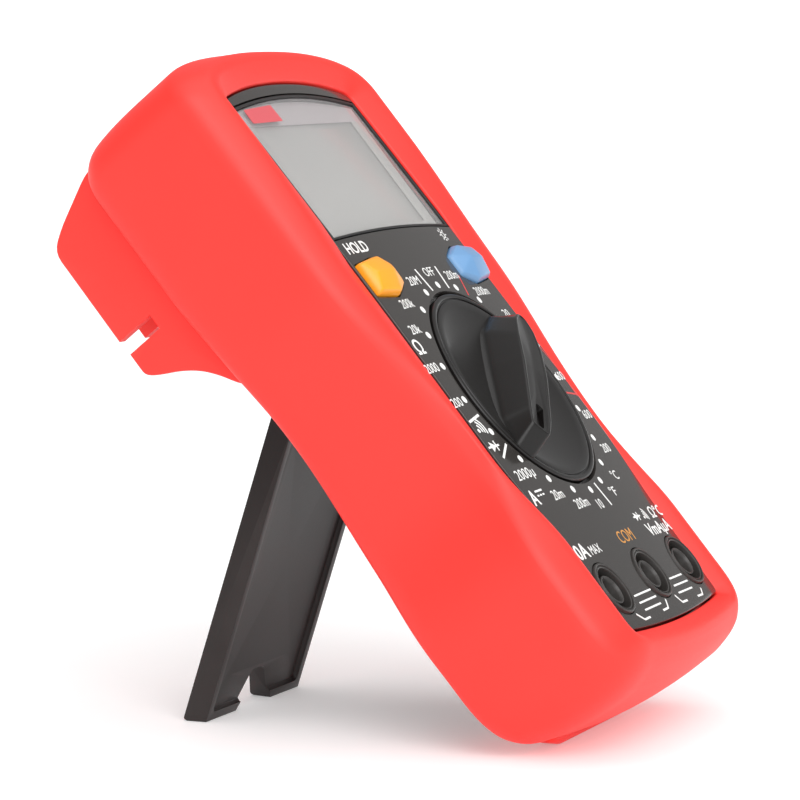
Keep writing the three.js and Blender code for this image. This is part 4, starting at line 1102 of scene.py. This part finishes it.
# ---- CAD nodes that stay
NODE_FINISHES = {
    "steel": ["case_screw_1", "case_screw_2", "case_screw_3", "case_screw_4", "detent_ball_1",
              "detent_ball_2", "detent_spring_1", "detent_spring_2", "battery_strap",
              "battery_terminal_positive", "battery_terminal_negative", "battery_spring_1",
              "battery_spring_2"],
    "brass": ["wiper_1", "wiper_2", "wiper_3", "fuse_clip_left", "fuse_clip_right"],
    "white_plastic": ["backlight_plate", "lcd_frame", "switch_rotor", "detent_ring"],
    "grey_rubber": ["zebra_strip_upper", "zebra_strip_lower"],
    "board_green": ["circuit_board"],
    "fuse_glass": ["fuse"],
    "black_epoxy": ["buzzer", "meter_chip", "hold_switch", "backlight_switch"],
    "yellow_plastic": ["calibration_trimmer"],
    "copper": ["shunt_wire"],
    "battery_sleeve": ["battery_1", "battery_2"],
}


def finish_cad_nodes():
    """Gives the inner pieces, which keep their CAD shapes, the finish of their slot."""
    for slot, names in NODE_FINISHES.items():
        for name in names:
            mesh = frame["nodes"][name].data
            mesh.materials.clear()
            mesh.materials.append(FINISHES[slot])


# ---- studio
def make_floor():
    """A pale round floor that sweeps up far away, the same from every side."""
    flat, sweep, sides = 2.2, 1.2, 96
    profile = [(0.001, 0), (1.0, 0), (flat, 0)]
    profile += [(flat + sweep * math.sin(a), sweep - sweep * math.cos(a))
                for a in np.linspace(0, math.pi / 3, 14)[1:]]
    angles = np.linspace(0, 2 * math.pi, sides, endpoint=False)
    points = [(r * math.cos(a), r * math.sin(a), z) for r, z in profile for a in angles]
    faces = []
    for level in range(len(profile) - 1):
        low, high = level * sides, (level + 1) * sides
        for i in range(sides):
            j = (i + 1) % sides
            faces.append((low + i, low + j, high + j, high + i))
    faces.append(tuple(reversed(range(sides))))
    mesh = bpy.data.meshes.new("floor")
    mesh.from_pydata(points, [], faces)
    mesh.flip_normals()
    mesh.shade_smooth()
    floor = linked("floor", mesh)
    floor.location.z = -0.0001
    finish("floor_paper", (0.8, 0.81, 0.81, 1), 0.7, grain=1.2, bump=0.004, spread=0.01,
           Emission_Strength=0.25, Emission_Color=(1, 1, 1, 1))
    mesh.materials.append(FINISHES["floor_paper"])


def make_light(name, direction, strength, size_degrees):
    """A far light from a direction, softened as if it were this wide in the sky."""
    light = bpy.data.lights.new(name, "SUN")
    light.energy = strength
    light.angle = math.radians(size_degrees)
    obj = linked(name, light)
    obj.rotation_mode = "QUATERNION"
    obj.rotation_quaternion = Vector((0, 0, 1)).rotation_difference(Vector(direction).normalized())


def make_studio():
    """Pale floor, even white surroundings, a broad light from the left and one from above."""
    make_floor()
    world = bpy.data.worlds.new("studio")
    world.use_nodes = True
    sky = world.node_tree.nodes["Background"]
    sky.inputs["Color"].default_value = (1, 1, 1, 1)
    sky.inputs["Strength"].default_value = 0.42
    bpy.context.scene.world = world
    make_light("key", (-0.75, -0.55, 0.55), 1.9, 50)
    make_light("top", (-0.1, -0.3, 1.0), 1.6, 80)
    bpy.context.scene.view_settings.view_transform = "Standard"
    bpy.context.scene.view_settings.look = "None"


CAMERA_RIGHT = (0.38575, -0.92259, -0.00052)
CAMERA_FORWARD = (0.91823, 0.38397, -0.09700)
CAMERA_FROM_DIAL = (-0.6131, -0.234455, 0.0615)
CAMERA_LENS = 167.4


def make_camera():
    """A long lens that looks at the meter from its left, a little above the dial."""
    forward = Vector(CAMERA_FORWARD).normalized()
    right = Vector(CAMERA_RIGHT)
    right = (right - forward * right.dot(forward)).normalized()
    up = right.cross(forward)
    camera = bpy.data.cameras.new("camera")
    camera.lens = CAMERA_LENS
    camera.sensor_width = 36
    obj = linked("camera", camera)
    rotation = Matrix((right, up, -forward)).transposed()
    place = Vector(JOINTS["knob_spin"]["pos_m"]) + Vector(CAMERA_FROM_DIAL)
    obj.matrix_world = Matrix.Translation(place) @ rotation.to_4x4()
    bpy.context.scene.camera = obj


make_camera()
make_studio()
make_holster()
front_panel()
make_window()
make_knob()
make_button(-1, "hold_key_cap", "yellow_plastic", "hold_key", "hold_button")
make_button(1, "backlight_key_cap", "blue_plastic", "backlight_key", "backlight_button")
for jack_name, jack_x in jack_places():
    make_jack(jack_name, jack_x)
make_prints()
rear_shell()
battery_door()
door_screw()
kickstand_shell()
finish_cad_nodes()
